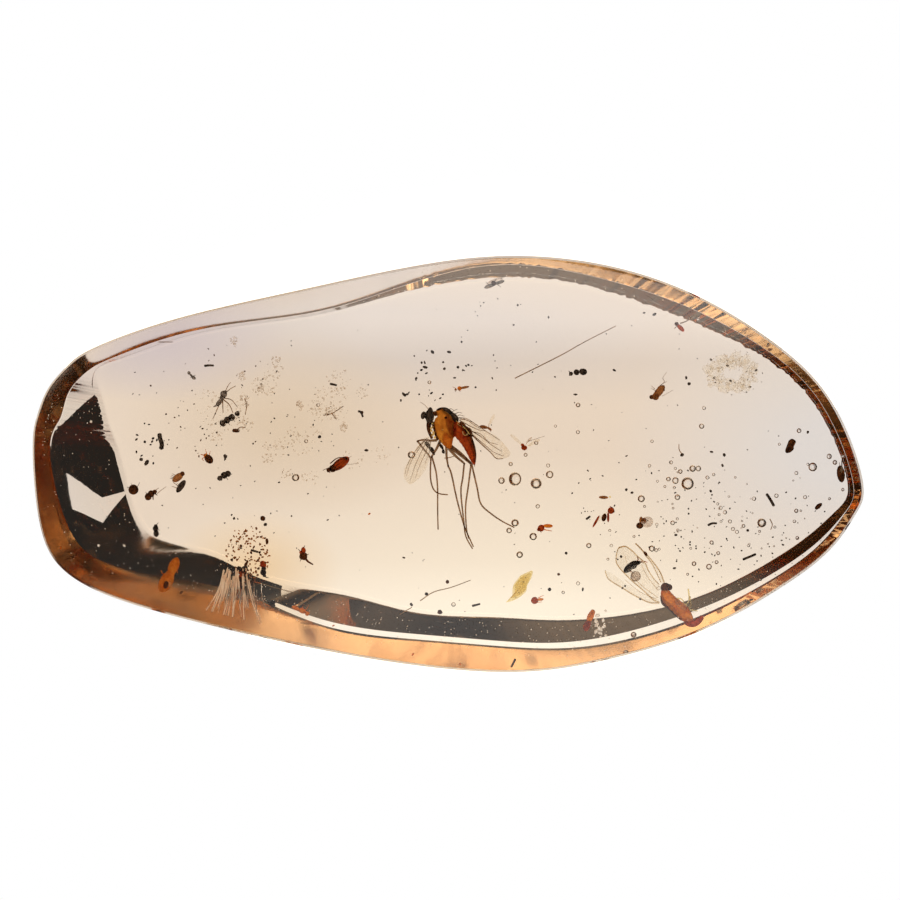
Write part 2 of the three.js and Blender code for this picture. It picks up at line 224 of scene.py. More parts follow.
def smooth_path(path, steps):
    """A Catmull-Rom line through the rows of path, with steps points for each span."""
    path = np.asarray(path, float)
    ends = np.vstack([2 * path[0] - path[1], path, 2 * path[-1] - path[-2]])
    rows = []
    for i in range(len(path) - 1):
        a, b, c, d = ends[i:i + 4]
        for u in np.arange(steps) / steps:
            rows.append(0.5 * (2 * b + (c - a) * u + (2 * a - 5 * b + 4 * c - d) * u ** 2
                               + (3 * b - a - 3 * c + d) * u ** 3))
    rows.append(path[-1])
    return np.array(rows)


def tube(path, radii, sides=8, steps=4, flat=1.0):
    """A closed round body along a path, with its own radius at each point of the path."""
    rows = np.column_stack([path, np.broadcast_to(radii, len(path))])
    rows = smooth_path(rows, steps)
    line, radius = rows[:, :3], np.maximum(rows[:, 3], 1e-3)
    tangent = np.gradient(line, axis=0)
    tangent /= np.linalg.norm(tangent, axis=1)[:, None]
    up = np.array([0.0, 0.0, 1.0]) if abs(tangent[:, 2]).max() < 0.9 else np.array([1.0, 0.0, 0.0])
    side = np.cross(tangent, up)
    side /= np.linalg.norm(side, axis=1)[:, None]
    above = np.cross(side, tangent)
    angle = 2 * math.pi * np.arange(sides) / sides
    rings = [line[k] + radius[k] * (np.cos(angle)[:, None] * side[k]
                                    + flat * np.sin(angle)[:, None] * above[k])
             for k in range(len(line))]
    first = line[0] - tangent[0] * radius[0] * 0.5
    last = line[-1] + tangent[-1] * radius[-1] * 0.5
    points, faces = closed_rings(rings, first, last)
    return points, [face[::-1] for face in faces]


def lobe(start, end, radius, sides=16, steps=3, flat=1.0, ripple=0.0, ripples=6):
    """An egg-shaped body between two points, with rings across it if ripple is given."""
    share = 0.5 - 0.5 * np.cos(np.linspace(0.06, 0.94, 9) * math.pi)
    path = np.outer(1 - share, start) + np.outer(share, end)
    radii = radius * np.sqrt(np.clip(1 - (2 * share - 1) ** 2, 0, 1))
    if ripple:
        share = np.linspace(0.02, 0.98, 4 * ripples + 1)
        path = np.outer(1 - share, start) + np.outer(share, end)
        radii = radius * np.sqrt(1 - (2 * share - 1) ** 2)
        radii = radii * (1 - ripple * (0.5 + 0.5 * np.cos(2 * math.pi * ripples * share)))
    return tube(path, radii, sides, steps, flat)


def membrane(outline, height, thickness=0.02, wave=0.04, rings=5):
    """A thin waved sheet inside an outline, closed round its edge."""
    edge = smooth_path(list(outline) + [outline[0]], 5)[:-1]
    middle = edge.mean(axis=0)
    layers = []
    for share in np.linspace(0.12, 1, rings):
        flat = middle + (edge - middle) * share
        swell = wave * np.sin(5 * flat[:, 0]) * np.cos(4 * flat[:, 1] + flat[:, 0])
        layers.append(np.column_stack([flat, height + swell]))
    half = np.array([0, 0, thickness / 2])
    rings_up = [layer + half for layer in layers]
    rings_down = [layer - half for layer in reversed(layers)]
    top = np.append(middle, height) + half
    bottom = np.append(middle, height) - half
    return closed_rings(rings_up + rings_down, top, bottom)


def ball(centre, radius, around=12, along=8, rough=0.0, seed=0, stretch=(1, 1, 1)):
    """A round body whose surface is slightly uneven if rough is given."""
    angle = 2 * math.pi * np.arange(around) / around
    polar = math.pi * np.arange(1, along) / along
    dice = random.Random(seed)
    waves = [(dice.uniform(0, 6), dice.uniform(0, 6), dice.randint(1, 4), dice.randint(1, 4))
             for _ in range(4)]
    rings = []
    for p in polar:
        swell = sum(np.sin(n * angle + a) * math.sin(m * p + b) for a, b, n, m in waves) / 4
        r = radius * (1 + rough * swell)
        rings.append(np.column_stack([r * math.sin(p) * np.cos(angle), r * math.sin(p) * np.sin(angle),
                                      -r * math.cos(p)]) * stretch + centre)
    poles = [np.array(centre) + np.array([0, 0, sign * radius]) * stretch for sign in (-1, 1)]
    return closed_rings(rings, *poles)


# ---- the clear stone ----------------------------------------------------------------
def spline_controls(rows):
    """Control rows of the closed cubic B-spline that passes through every given row."""
    rows = np.array(rows, float)
    controls = rows.copy()
    count = len(rows)
    for _ in range(SPLINE_PASSES):
        for i in range(count):
            controls[i] = (6 * rows[i] - controls[i - 1] - controls[(i + 1) % count]) / 4
    return controls


def spline_at(controls, turns):
    """Rows of the closed B-spline at the given turns, 0 to 1 round it."""
    count = len(controls)
    place = (turns % 1.0) * count
    i = np.floor(place).astype(int)
    u = (place - i)[:, None]
    return ((1 - u) ** 3 * controls[(i - 1) % count]
            + (3 * u ** 3 - 6 * u ** 2 + 4) * controls[i % count]
            + (-3 * u ** 3 + 3 * u ** 2 + 3 * u + 1) * controls[(i + 1) % count]
            + u ** 3 * controls[(i + 2) % count]) / 6


def rise(degrees):
    """Height gained for each millimetre inward on a slope."""
    return np.tan(np.radians(degrees))


def scratches(count):
    """Small steps that the grinding left in the back's edge, strongest at the upper right."""
    dice = random.Random(2)
    step = np.array([dice.gauss(0, SCRATCH) for _ in range(count)])
    turns = np.arange(count) / count
    return step * (0.06 + np.exp(-((turns - SCRATCHED_TURN) / SCRATCHED_REACH) ** 2))


class Outline:
    """The stone's outline and its bevels, sampled evenly round it."""

    def __init__(self, count):
        controls = spline_controls(OUTLINE)
        turns = np.arange(count) / count
        rows = spline_at(controls, turns)
        self.edge = rows[:, :2]
        self.back, self.fold = rows[:, 2], rows[:, 3]
        if count == STEPS_ROUND:
            self.back = self.back + scratches(count)
        near = 0.025  # wide, so that small turns of the outline don't sway the insets
        ahead, behind = spline_at(controls, turns + near), spline_at(controls, turns - near)
        along = (ahead - behind)[:, :2]
        along /= np.linalg.norm(along, axis=1)[:, None]
        self.reach = self.edge[:, 0] * along[:, 1] - self.edge[:, 1] * along[:, 0]
        self.ledge = rows[:, 6]
        self.ledge_height = (self.back - self.fold - self.ledge) * rise(rows[:, 4])
        self.fold_height = self.ledge_height + self.ledge * rise(LEDGE_SLOPE)
        self.waist = np.minimum(self.fold_height + self.fold * rise(rows[:, 5]), MAX_WAIST)


def rounded_section(corners, roundings, fine=4):
    """Insets and heights along a section with its corners rounded, for every turn at once.

    corners are (inset, height) pairs of arrays; roundings are how far from each inner
    corner its rounding starts.
    """
    corners = [np.array([inset + np.zeros(STEPS_ROUND), height + np.zeros(STEPS_ROUND)])
               for inset, height in corners]
    controls = [corners[0]]
    for before, here, after, reach in zip(corners, corners[1:], corners[2:], roundings):
        if len(controls) > 1:
            controls += [before + (here - before) * share for share in (0.3, 0.4, 0.5, 0.6, 0.7)]
        back, on = before - here, after - here
        back_length = np.linalg.norm(back, axis=0)
        on_length = np.linalg.norm(on, axis=0)
        for share in (1.0, 0.35):
            controls.append(here + back * np.minimum(reach * share / back_length, 0.45 * share))
        controls.append(here)
        for share in (0.35, 1.0):
            controls.append(here + on * np.minimum(reach * share / on_length, 0.45 * share))
    controls.append(corners[-1])
    controls = [controls[0]] * 2 + controls + [controls[-1]] * 2
    rows = []
    for a, b, c, d in zip(controls, controls[1:], controls[2:], controls[3:]):
        for u in np.arange(fine) / fine:
            rows.append(((1 - u) ** 3 * a + (3 * u ** 3 - 6 * u ** 2 + 4) * b
                         + (-3 * u ** 3 + 3 * u ** 2 + 3 * u + 1) * c + u ** 3 * d) / 6)
    rows.append(corners[-1])
    return rows


def stone_rings():
    """Rings of points from the middle of the flat back up to the crown, and how worn each point is."""
    o = Outline(STEPS_ROUND)
    face = HEIGHT - DOME
    section = rounded_section(
        [(o.back + 2.0, 0.0), (o.back, 0.0), (o.fold + o.ledge, o.ledge_height), (o.fold, o.fold_height),
         (0.0, o.waist), (LEAN, SHOULDER), (FACE_INSET, face), (FACE_INSET + 2.0, face)], ROUNDINGS)
    rings = []
    first, last = section[0], section[-1]
    for share in np.linspace(0.04, 0.96, 10):
        rings.append((o.reach - (o.reach - first[0]) * share, first[1]))
    rings += [(inset + SKIN, height) for inset, height in section]
    for share in np.linspace(0.95, 0.04, 16):
        rings.append((o.reach - (o.reach - last[0]) * share, last[1]))
    shaped, wear = [], []
    for inset, height in rings:
        place = o.edge * (1 - inset / o.reach)[:, None]
        bulge = 1 - (place[:, 0] / HALF_LENGTH) ** 2 - (place[:, 1] / HALF_WIDTH) ** 2
        share = np.clip((height - SHOULDER) / (face - SHOULDER), 0, 1) ** 2
        shaped.append(np.column_stack([place, height + DOME * np.maximum(bulge, 0) * share]))
        # dull between the fold and the face, least so at the right end
        side = np.clip((height - o.fold_height) / 0.4, 0, 1) * np.clip((face - height) / 0.5, 0, 1)
        side = side * np.clip((20 - place[:, 0]) / 6, 0.1, 1)
        away = (place - WORN_MIDDLE) / WORN_RADII
        corner = np.clip(1 - np.hypot(away[:, 0], away[:, 1]), 0, 0.5) * 2
        side = np.maximum(side, 0.8 * corner * np.clip(height / 0.4, 0, 1))
        wear.append(side * np.ones(STEPS_ROUND))
    return shaped, np.concatenate(wear + [np.zeros(2)])


def clear_stone(hollows, material):
    """The clear copal with its gas bubbles and its cracks, which are hollows inside it."""
    shape = Shape()
    rings, wear = stone_rings()
    shape.add(*closed_rings(rings, (0, 0, 0), (0, 0, HEIGHT)))
    for points, faces in hollows:
        shape.add(points, [face[::-1] for face in faces])
    piece = shape.build("clear_copal", [material], ("copal_lower", "copal_upper"), "copal")
    worn = piece.data.attributes.new("worn", "FLOAT", "POINT")
    worn.data.foreach_set("value", np.append(wear, np.zeros(shape.count - len(wear))))
    return piece


# ---- materials ----------------------------------------------------------------------
class Tree:
    """A node tree, with short ways to add and link nodes."""

    def __init__(self, tree):
        self.tree = tree

    def new(self, kind, **values):
        """A new node, with values for its inputs and its settings."""
        node = self.tree.nodes.new("ShaderNode" + kind)
        for key, value in values.items():
            if key in node.inputs:
                node.inputs[key].default_value = value
            else:
                setattr(node, key, value)
        return node

    def link(self, output, target):
        self.tree.links.new(output, target)

    def fill(self, sockets, *values):
        """Gives each socket a number, a colour or a link."""
        for socket, value in zip(sockets, values):
            if isinstance(value, tuple):
                socket.default_value = (*value, 1)
            elif isinstance(value, float):
                socket.default_value = value
            else:
                self.link(value, socket)

    def calc(self, operation, *values):
        """What a sum of numbers or links comes to."""
        node = self.new("Math", operation=operation)
        self.fill(node.inputs, *values)
        return node.outputs["Value"]

    def ramp(self, source, *stops):
        """A colour that follows source through (position, colour or grey level) stops."""
        node = self.new("ValToRGB")
        ramp = node.color_ramp
        while len(ramp.elements) < len(stops):
            ramp.elements.new(0.5)
        for element, (position, color) in zip(ramp.elements, stops):
            element.position = position
            color = color if isinstance(color, (tuple, list)) else (color,) * 3
            element.color = (*color, 1)
        self.link(source, node.inputs["Fac"])
        return node.outputs["Color"]


class Nodes(Tree):
    """A material's Principled shader, with short ways to link noise into it."""

    def __init__(self, name, **sockets):
        self.material = bpy.data.materials.new(name)
        self.material.use_nodes = True
        super().__init__(self.material.node_tree)
        self.shader = self.tree.nodes["Principled BSDF"]
        self.place = self.new("TexCoord").outputs["Object"]
        for socket, value in sockets.items():
            self.shader.inputs[socket.replace("_", " ")].default_value = value

    def noise(self, scale, detail=3.0, rough=0.55, stretch=None, twist=0.0):
        node = self.new("TexNoise", Scale=scale, Detail=detail, Roughness=rough, Distortion=twist)
        place = self.place
        if stretch:
            mapping = self.new("Mapping", Scale=stretch)
            self.link(place, mapping.inputs["Vector"])
            place = mapping.outputs["Vector"]
        self.link(place, node.inputs["Vector"])
        return node.outputs["Fac"]

    def bump(self, source, strength, distance):
        node = self.new("Bump", Strength=strength, Distance=distance)
        self.link(source, node.inputs["Height"])
        self.link(node.outputs["Normal"], self.shader.inputs["Normal"])

    def absorb(self, color, density):
        node = self.new("VolumeAbsorption", Color=(*color, 1), Density=density)
        self.link(node.outputs["Volume"], self.tree.nodes["Material Output"].inputs["Volume"])


def copal_material():
    """Clear copal: plain transmission, its IOR and its absorption, with a worn polish."""
    n = Nodes("clear_copal", IOR=1.54, Transmission_Weight=1.0, Base_Color=(1, 1, 1, 1))
    worn = n.new("Attribute", attribute_name="worn").outputs["Fac"]
    smears = n.ramp(n.noise(220, 4), (0.35, 0.0), (0.75, 0.05))
    n.link(n.calc("MULTIPLY_ADD", worn, WORN, smears), n.shader.inputs["Roughness"])
    n.bump(n.noise(900, 3, 0.6, (1.0, 0.12, 1.0)), 0.02, 0.00002)
    n.absorb((0.9, 0.55, 0.05), 40)
    return n.material


def chitin(name, dark, pale, through, grain=9000.0):
    """An insect's shell: mottled, finely pitted, and partly see-through against the light."""
    n = Nodes(name, IOR=1.08, Transmission_Weight=through, Specular_IOR_Level=0.5)
    patches = n.noise(grain / 4, 4, 0.6, twist=0.6)
    n.link(n.ramp(patches, (0.32, dark), (0.68, pale)), n.shader.inputs["Base Color"])
    n.link(n.ramp(n.noise(grain, 2), (0.3, 0.3), (0.7, 0.6)), n.shader.inputs["Roughness"])
    n.bump(n.noise(grain * 1.6, 3), 0.5, 0.00002)
    return n.material


def membrane_material(name, thin, thick, through=0.92, veins=2500.0):
    """A wing or a film: clear with faint cloudy bands."""
    n = Nodes(name, IOR=1.03, Transmission_Weight=through, Specular_IOR_Level=0.3)
    bands = n.noise(veins, 4, 0.6, (1.0, 0.35, 1.0), 1.2)
    n.link(n.ramp(bands, (0.35, thin), (0.65, thick)), n.shader.inputs["Base Color"])
    n.link(n.ramp(n.noise(veins * 3, 2), (0.3, 0.1), (0.7, 0.3)), n.shader.inputs["Roughness"])
    n.bump(n.noise(veins * 4, 2), 0.3, 0.00001)
    return n.material


BLACK = chitin("black_chitin", (0.016, 0.011, 0.009), (0.11, 0.08, 0.06), 0.4)
DARK = chitin("dark_brown_chitin", (0.03, 0.009, 0.003), (0.17, 0.055, 0.015), 0.5)
BROWN = chitin("brown_chitin", (0.16, 0.045, 0.012), (0.55, 0.24, 0.08), 0.6, 12000)
ORANGE = chitin("orange_chitin", (0.6, 0.11, 0.006), (0.95, 0.35, 0.04), 0.5, 12000)
RED = chitin("red_brown_chitin", (0.2, 0.014, 0.004), (0.6, 0.1, 0.012), 0.6, 12000)
AMBER = chitin("thorax_chitin", (0.35, 0.07, 0.005), (0.8, 0.33, 0.04), 0.7, 6000)
# cream scales, and also the painted glints on the mosquito
CREAM_SCALES_AND_GLINTS = chitin("cream_scales_and_painted_glints", (0.7, 0.45, 0.12), (1.0, 0.85, 0.45), 0.75)
GREY = chitin("grey_chitin", (0.13, 0.11, 0.10), (0.38, 0.33, 0.29), 0.7)
HAIR = chitin("hair", (0.16, 0.08, 0.035), (0.45, 0.28, 0.15), 0.8)
LIMB = chitin("mosquito_limb", (0.16, 0.085, 0.04), (0.42, 0.26, 0.15), 0.8)
VEIN = chitin("wing_vein", (0.55, 0.38, 0.2), (0.85, 0.7, 0.48), 0.85)
# pale streaks that follow the crack's lines and paint the light it reflects
PAINTED_CRACK_GLEAM = chitin("crack_streaks_painted_gleam", (0.8, 0.5, 0.3), (1.0, 0.8, 0.6), 0.15, 6000)
# white dust, and also the painted sparkle at the lower rim
DUST_AND_PAINTED_SPARKLE = chitin("white_dust", (0.85, 0.75, 0.65), (1.0, 0.97, 0.92), 0.0, 4000)
WING = membrane_material("wing_membrane", (0.985, 0.965, 0.92), (0.93, 0.86, 0.75))
FILM = membrane_material("clear_wing", (0.995, 0.985, 0.96), (0.96, 0.92, 0.85))
MIST = membrane_material("faint_cloud", (0.93, 0.89, 0.85), (0.75, 0.68, 0.61), 0.9, 900)
SMOKE = membrane_material("smoky_film", (0.93, 0.88, 0.83), (0.62, 0.52, 0.46), 0.85, 1500)
STRAW = membrane_material("straw_film", (0.96, 0.88, 0.62), (0.86, 0.72, 0.36), 0.9, 1800)


# ---- stage --------------------------------------------------------------------------
def table_rim(near, far):
    """A rim of the light table: the stone's outline with its near and far sides widened by those
    shares, cut back under the left end but for the tongue."""
    o = Outline(STEPS_ROUND)
    turns = np.arange(STEPS_ROUND) / STEPS_ROUND
    cut = np.clip(np.minimum(turns - CUT_START, CUT_END - turns) / CUT_SOFT, 0, 1)
    rim = o.edge * (TABLE_MARGIN - cut * o.back / o.reach)[:, None]
    rim[:, 1] *= np.where(cut == 0, np.where(rim[:, 1] > 0, far, near), 1)
    (_, high), (_, low) = TONGUE[0], TONGUE[-1]
    half = STEPS_ROUND // 2
    above = [tuple(place) for place in rim[:half] if place[0] > TONGUE_SIDE or place[1] > high]
    below = [tuple(place) for place in rim[half:] if place[0] > TONGUE_SIDE or place[1] < low]
    return above + TONGUE + below


def floor():
    """A small light table that glows, dimmed under the stone as a painted shadow of it and tinted there by
    soft spots of painted light and shade, with a brighter strip along the stone's outline and the shelf
    beside its cut."""
    shape = bpy.data.meshes.new("floor")
    inner, outer = table_rim(STRIP_NEAR, STRIP_FAR), table_rim(TABLE_NEAR, TABLE_FAR)
    count = len(inner)
    corners = [(x * MM, y * MM, -TABLE_DROP * MM) for x, y in inner + outer + SHELF]
    shelf = tuple(range(2 * count, 2 * count + len(SHELF)))
    strip = [(i, count + i, count + (i + 1) % count, (i + 1) % count) for i in range(count)
             if inner[i] != outer[i] or inner[(i + 1) % count] != outer[(i + 1) % count]]
    shape.from_pydata(corners, [], [tuple(range(count)), shelf] + strip)
    board = new_object("light_table", shape)
    n = Nodes("light_table", Roughness=0.8, Specular_IOR_Level=0.0, Base_Color=TABLE_COLOR,
              Emission_Strength=1.0)

    def spot_share(centre, radii, even):
        """1 in the middle of an oval and 0 outside it."""
        spot = n.new("Mapping", vector_type="POINT", Scale=(1 / MM / radii[0], 1 / MM / radii[1], 0),
                     Location=(-centre[0] / radii[0], -centre[1] / radii[1], 0))
        n.link(n.place, spot.inputs["Vector"])
        far = n.new("VectorMath", operation="LENGTH")
        n.link(spot.outputs["Vector"], far.inputs[0])
        return n.ramp(far.outputs["Value"], (even, 1.0), (1.0, 0.0))

    # the glow under the stone is a painted shadow, and the spots paint tinted light and shade onto it
    light = TABLE_GLOW_IN_PAINTED_SHADOW
    for centre, radii, even, color in TABLE_PAINTED_LIGHT_AND_SHADE_SPOTS:
        share = spot_share(centre, radii, even)
        mix = n.new("Mix", data_type="RGBA")
        n.fill((mix.inputs[0], mix.inputs[6], mix.inputs[7]), share, light, color)
        light = mix.outputs[2]
    n.link(light, n.shader.inputs["Emission Color"])
    bright = Nodes("light_table_white", Base_Color=TABLE_COLOR, Emission_Strength=1.0,
                   Emission_Color=(*TABLE_WHITE, 1))
    shape.materials.append(n.material)
    shape.materials.append(bright.material)
    shape.polygons.foreach_set("material_index", [0, 0] + [1] * len(strip))


def world():
    """A dark room with soft light from high up all round, and a long lamp on each side of the
    zenith. Rays scattered by the small matt things see some more light from above, and the
    camera sees a white backdrop."""
    scene_world = bpy.data.worlds.new("studio")
    bpy.context.scene.world = scene_world
    scene_world.use_nodes = True
    t = Tree(scene_world.node_tree)
    room = t.tree.nodes["Background"]
    path = t.new("LightPath").outputs
    toward = t.new("SeparateXYZ")
    t.link(t.new("TexCoord").outputs["Generated"], toward.inputs[0])
    x, y, z = (toward.outputs[axis] for axis in "XYZ")
    high = t.ramp(z, (0.3, ROOM), (0.5, FILL), (0.93, FILL), (0.98, ROOM))
    level = t.ramp(t.calc("ABSOLUTE", z), (0.045, HORIZON), (0.07, 0.0))
    across = t.ramp(t.calc("ABSOLUTE", y), (0.085, 0.0), (0.12, 1.0), (0.24, 1.0), (0.3, 0.0))
    along = t.ramp(t.calc("ADD", x, 0.5), (0.41, 0.0), (0.47, 1.0), (0.7, 1.0), (0.85, 0.0))
    sides = t.ramp(t.calc("ADD", y, 0.5), (0.45, NEAR_LAMP), (0.55, 1.0))
    above = t.calc("GREATER_THAN", z, 0.0)
    lamp = t.calc("MULTIPLY", t.calc("MULTIPLY", across, along), t.calc("MULTIPLY", sides, LAMP))
    scattered = t.calc("MULTIPLY", t.calc("MINIMUM", path["Diffuse Depth"], 1.0), above)
    light = t.calc("ADD", t.calc("ADD", high, level), t.calc("MULTIPLY", lamp, above))
    t.link(t.calc("ADD", light, t.calc("MULTIPLY", scattered, LIT)), room.inputs["Color"])
    backdrop = t.new("Background", Color=(1, 1, 1, 1))
    mix = t.new("MixShader")
    t.fill(mix.inputs, path["Is Camera Ray"], room.outputs[0], backdrop.outputs[0])
    t.link(mix.outputs[0], t.tree.nodes["World Output"].inputs["Surface"])


def camera():
    """Straight above the stone, framed as a little more than its length."""
    view = bpy.data.cameras.new("camera")
    placed = new_object("camera", view)
    bpy.context.scene.camera = placed
    distance, frame_width = 0.4, 0.060  # metres
    view.sensor_width = 36
    view.lens = view.sensor_width * distance / frame_width
    view.clip_start = 0.01
    placed.location = (0.17 * MM, 0.93 * MM, distance + 9 * MM)


def render_look():
    """Plain colours, and bounces enough for light that is reflected inside the stone."""
    scene = bpy.context.scene
    scene.view_settings.view_transform = "Standard"
    bounces = 32
    scene.cycles.max_bounces = bounces
    scene.cycles.transmission_bounces = bounces
    scene.cycles.glossy_bounces = bounces


# ---- inclusions ---------------------------------------------------------------------
class Small(Shape):
    """Small things in the copal, drawn round a middle. Bodies and limbs may be made stouter."""

    def __init__(self, middle, seed, stout=1.0, limb=1.0):
        super().__init__()
        self.middle = np.array(middle, float)
        self.dice = random.Random(seed)
        self.stout, self.limb = stout, limb

    def put(self, made, slot):
        """Adds points and faces that are drawn round the middle."""
        points, faces = made
        return self.add(np.asarray(points) + self.middle, faces, slot)

    def egg(self, x0, y0, x1, y1, radius, slot=0, z=0.0, flat=0.85, ripple=0.0, ripples=6):
        """An egg-shaped part from one point to another."""
        made = lobe((x0, y0, z), (x1, y1, z), radius * self.stout, 14, 2, flat, ripple, ripples)
        return self.put(made, slot)

    def bead(self, x, y, radius, slot=0, z=0.0, rough=0.12, stretch=(1, 1, 0.85)):
        """A round, slightly uneven part."""
        made = ball((0, 0, 0), radius * self.stout, 14, 9, rough, self.dice.random(), stretch)
        return self.put((made[0] + (x, y, z), made[1]), slot)

    def body(self, *rows, slot=0, z=0.0, ripple=0.0, ripples=8, flat=0.85):
        """A round part through rows of x, y and radius, with rings across it if ripple is given."""
        rows = smooth_path(rows, 8)
        swell = 1 - ripple * (0.5 + 0.5 * np.cos(2 * math.pi * ripples * np.linspace(0, 1, len(rows))))
        path = np.column_stack([rows[:, :2], np.full(len(rows), z)])
        return self.put(tube(path, rows[:, 2] * swell * self.stout, 16, 1, flat), slot)

    def leg(self, radius, *flat_path, slot=0, z=0.0, drop=0.15, taper=0.55):
        """A thin limb through x, y pairs, which sinks by drop along its length."""
        path = np.array(flat_path, float).reshape(-1, 2)
        share = np.linspace(0, 1, len(path))
        rows = np.column_stack([path, z - drop * share])
        return self.put(tube(rows, radius * self.limb * (1 - (1 - taper) * share), 6, 4), slot)

    def legs(self, radius, *flat_paths, **look):
        """Thin limbs that differ only in their x, y pairs."""
        for flat_path in flat_paths:
            self.leg(radius, *flat_path, **look)
        return self

    def wing(self, *flat_path, slot=0, z=0.0, wave=0.04):
        """A thin waved sheet inside an outline of x, y pairs."""
        outline = np.array(flat_path, float).reshape(-1, 2)
        return self.put(membrane(outline, z, 0.02, wave), slot)

    def grain(self, x, y, radius, slot=0, z=0.0, flat=0.8):
        """A small uneven crumb."""
        wide = self.dice.uniform(0.75, 1.45)
        points, faces = ball((0, 0, 0), radius, 8, 5, 0.3, self.dice.random(), (wide, 1 / wide, flat))
        turn = self.dice.uniform(0, math.pi)
        c, s = math.cos(turn), math.sin(turn)
        return self.put((points @ np.array([[c, s, 0], [-s, c, 0], [0, 0, 1]]) + (x, y, z), faces), slot)

    def scatter(self, x, y, wide, high, count, least, most, slot=0, flat=0.8):
        """Crumbs strewn over an oval."""
        for _ in range(count):
            turn, reach = self.dice.uniform(0, 2 * math.pi), math.sqrt(self.dice.random())
            size = self.dice.uniform(least, most)
            self.grain(x + wide * reach * math.cos(turn), y + high * reach * math.sin(turn), size, slot,
                       self.dice.uniform(-1.5, 2.0), flat)
        return self


class Creature(Small):
    """An inclusion that stands for a CAD node, drawn round the middle of that node's box."""

    def __init__(self, node, stout=1.15, limb=1.35):
        low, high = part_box(node)
        super().__init__([(a + b) / 2 / MM for a, b in zip(low, high)], node, stout, limb)
        self.node = node

    def done(self, name, slot, *materials):
        """The finished piece, in its node's place."""
        return self.build(name, materials, (self.node,), slot)


INCLUSIONS = []


def inclusion(slot, *materials):
    """Notes a function that draws the small inclusion whose node has the function's name."""
    def note(draw):
        INCLUSIONS.append((draw, slot, materials))
        return draw
    return note


@inclusion("orange_insect", ORANGE, DARK, STRAW)
def pinhole_beetle(c):
    c.egg(0.5, 1.15, 0.0, 0.0, 0.3, ripple=0.05, ripples=9).bead(0.0, 0.05, 0.27).bead(0.12, 0.3, 0.2)
    c.egg(0.1, 0.2, -0.6, -1.1, 0.4, ripple=0.06, ripples=8).egg(-0.2, -0.35, -0.33, -0.9, 0.15, 1, z=0.3)
    c.egg(-0.02, -0.3, -0.05, -0.85, 0.12, 2, z=0.25)
    c.legs(0.03, (0.2, 0.4, 0.45, 0.3, 0.5, 0.15), (-0.25, 0.0, -0.5, 0.1, -0.6, 0.3))


@inclusion("grey_insect", GREY, HAIR)
def grey_midge(c):
    c.bead(0.18, 0.39, 0.21).bead(0.08, 0.2, 0.15).bead(0.28, 0.55, 0.1)
    c.egg(0.12, 0.15, -0.33, -0.38, 0.15, ripple=0.2).leg(0.05, -0.3, -0.33, -0.5, -0.43)
    c.leg(0.02, 0.25, 0.5, 0.45, 0.95, 0.64, 1.2, slot=1)
    c.legs(0.025, (0.3, 0.5, 0.6, 0.75, 0.97, 0.95), (0.0, 0.0, -0.28, -0.63, -0.56, -1.24), slot=1)
    c.legs(0.03, (0.1, 0.0, 0.13, -0.83), (0.15, 0.05, 0.55, -0.3, 0.79, -0.83), slot=1)
    c.legs(0.025, (0.2, 0.15, 0.7, 0.02, 1.1, -0.47), (0.05, 0.1, -0.2, 0.2), slot=1)


@inclusion("black_insect", BLACK)
def black_weevil(c):
    c.bead(-0.47, -0.23, 0.18, rough=0.25).bead(-0.42, -0.33, 0.13).bead(-0.17, -0.05, 0.2, rough=0.2)
    c.bead(0.14, 0.13, 0.2, rough=0.2).bead(0.5, 0.38, 0.15, rough=0.25).bead(0.65, -0.08, 0.04)
    c.legs(0.02, (-0.5, -0.3, -0.62, -0.5), (-0.1, -0.2, 0.0, -0.38), (0.2, 0.0, 0.35, -0.15))


@inclusion("black_insect", BLACK)
def short_dark_twig(c):
    c.leg(0.11, -0.07, 0.48, -0.03, 0.2, 0.02, 0.05, 0.09, -0.2, 0.05, -0.5, taper=1, drop=0)
    c.bead(-0.07, 0.42, 0.11, rough=0.3).bead(0.05, -0.42, 0.12, rough=0.3)


@inclusion("brown_insect", ORANGE, DARK)
def bristly_beetle(c):
    c.egg(-0.2, 0.22, 0.25, -0.28, 0.23, 1, ripple=0.08).bead(-0.18, 0.2, 0.13)
    c.leg(0.03, -0.15, 0.2, -0.52, 0.28)
    c.legs(0.02, (-0.1, 0.25, -0.2, 0.62), (0.05, 0.25, 0.12, 0.5), (-0.2, 0.1, -0.42, 0.0, -0.3, -0.15))


@inclusion("black_insect", BLACK)
def bent_black_beetle(c):
    c.bead(-0.27, -0.14, 0.15).bead(0.03, 0.06, 0.2).bead(0.28, 0.16, 0.18)
    c.legs(0.02, (-0.1, -0.15, -0.15, -0.32), (0.15, -0.05, 0.28, -0.25), (0.4, 0.2, 0.55, 0.1))


@inclusion("brown_insect", BROWN, DARK)
def brown_beetle_of_pair(c):
    c.egg(-0.38, -0.35, 0.3, 0.16, 0.21, ripple=0.05, ripples=7).bead(0.26, 0.15, 0.14, 1)
    for k in range(4):
        c.leg(0.015, -0.2 - 0.06 * k, 0.05 - 0.08 * k, -0.42 - 0.05 * k, 0.16 - 0.1 * k, slot=1)


@inclusion("black_insect", HAIR, BLACK)
def dark_beetle_of_pair(c):
    c.egg(-0.38, -0.38, 0.18, 0.42, 0.18, 1, ripple=0.04)
    c.legs(0.02, (-0.2, -0.05, -0.4, 0.12, -0.62, 0.28), (-0.3, -0.15, -0.5, -0.05, -0.7, 0.02))
    c.leg(0.015, -0.35, 0.2, -0.2, 0.12, -0.05, 0.18)


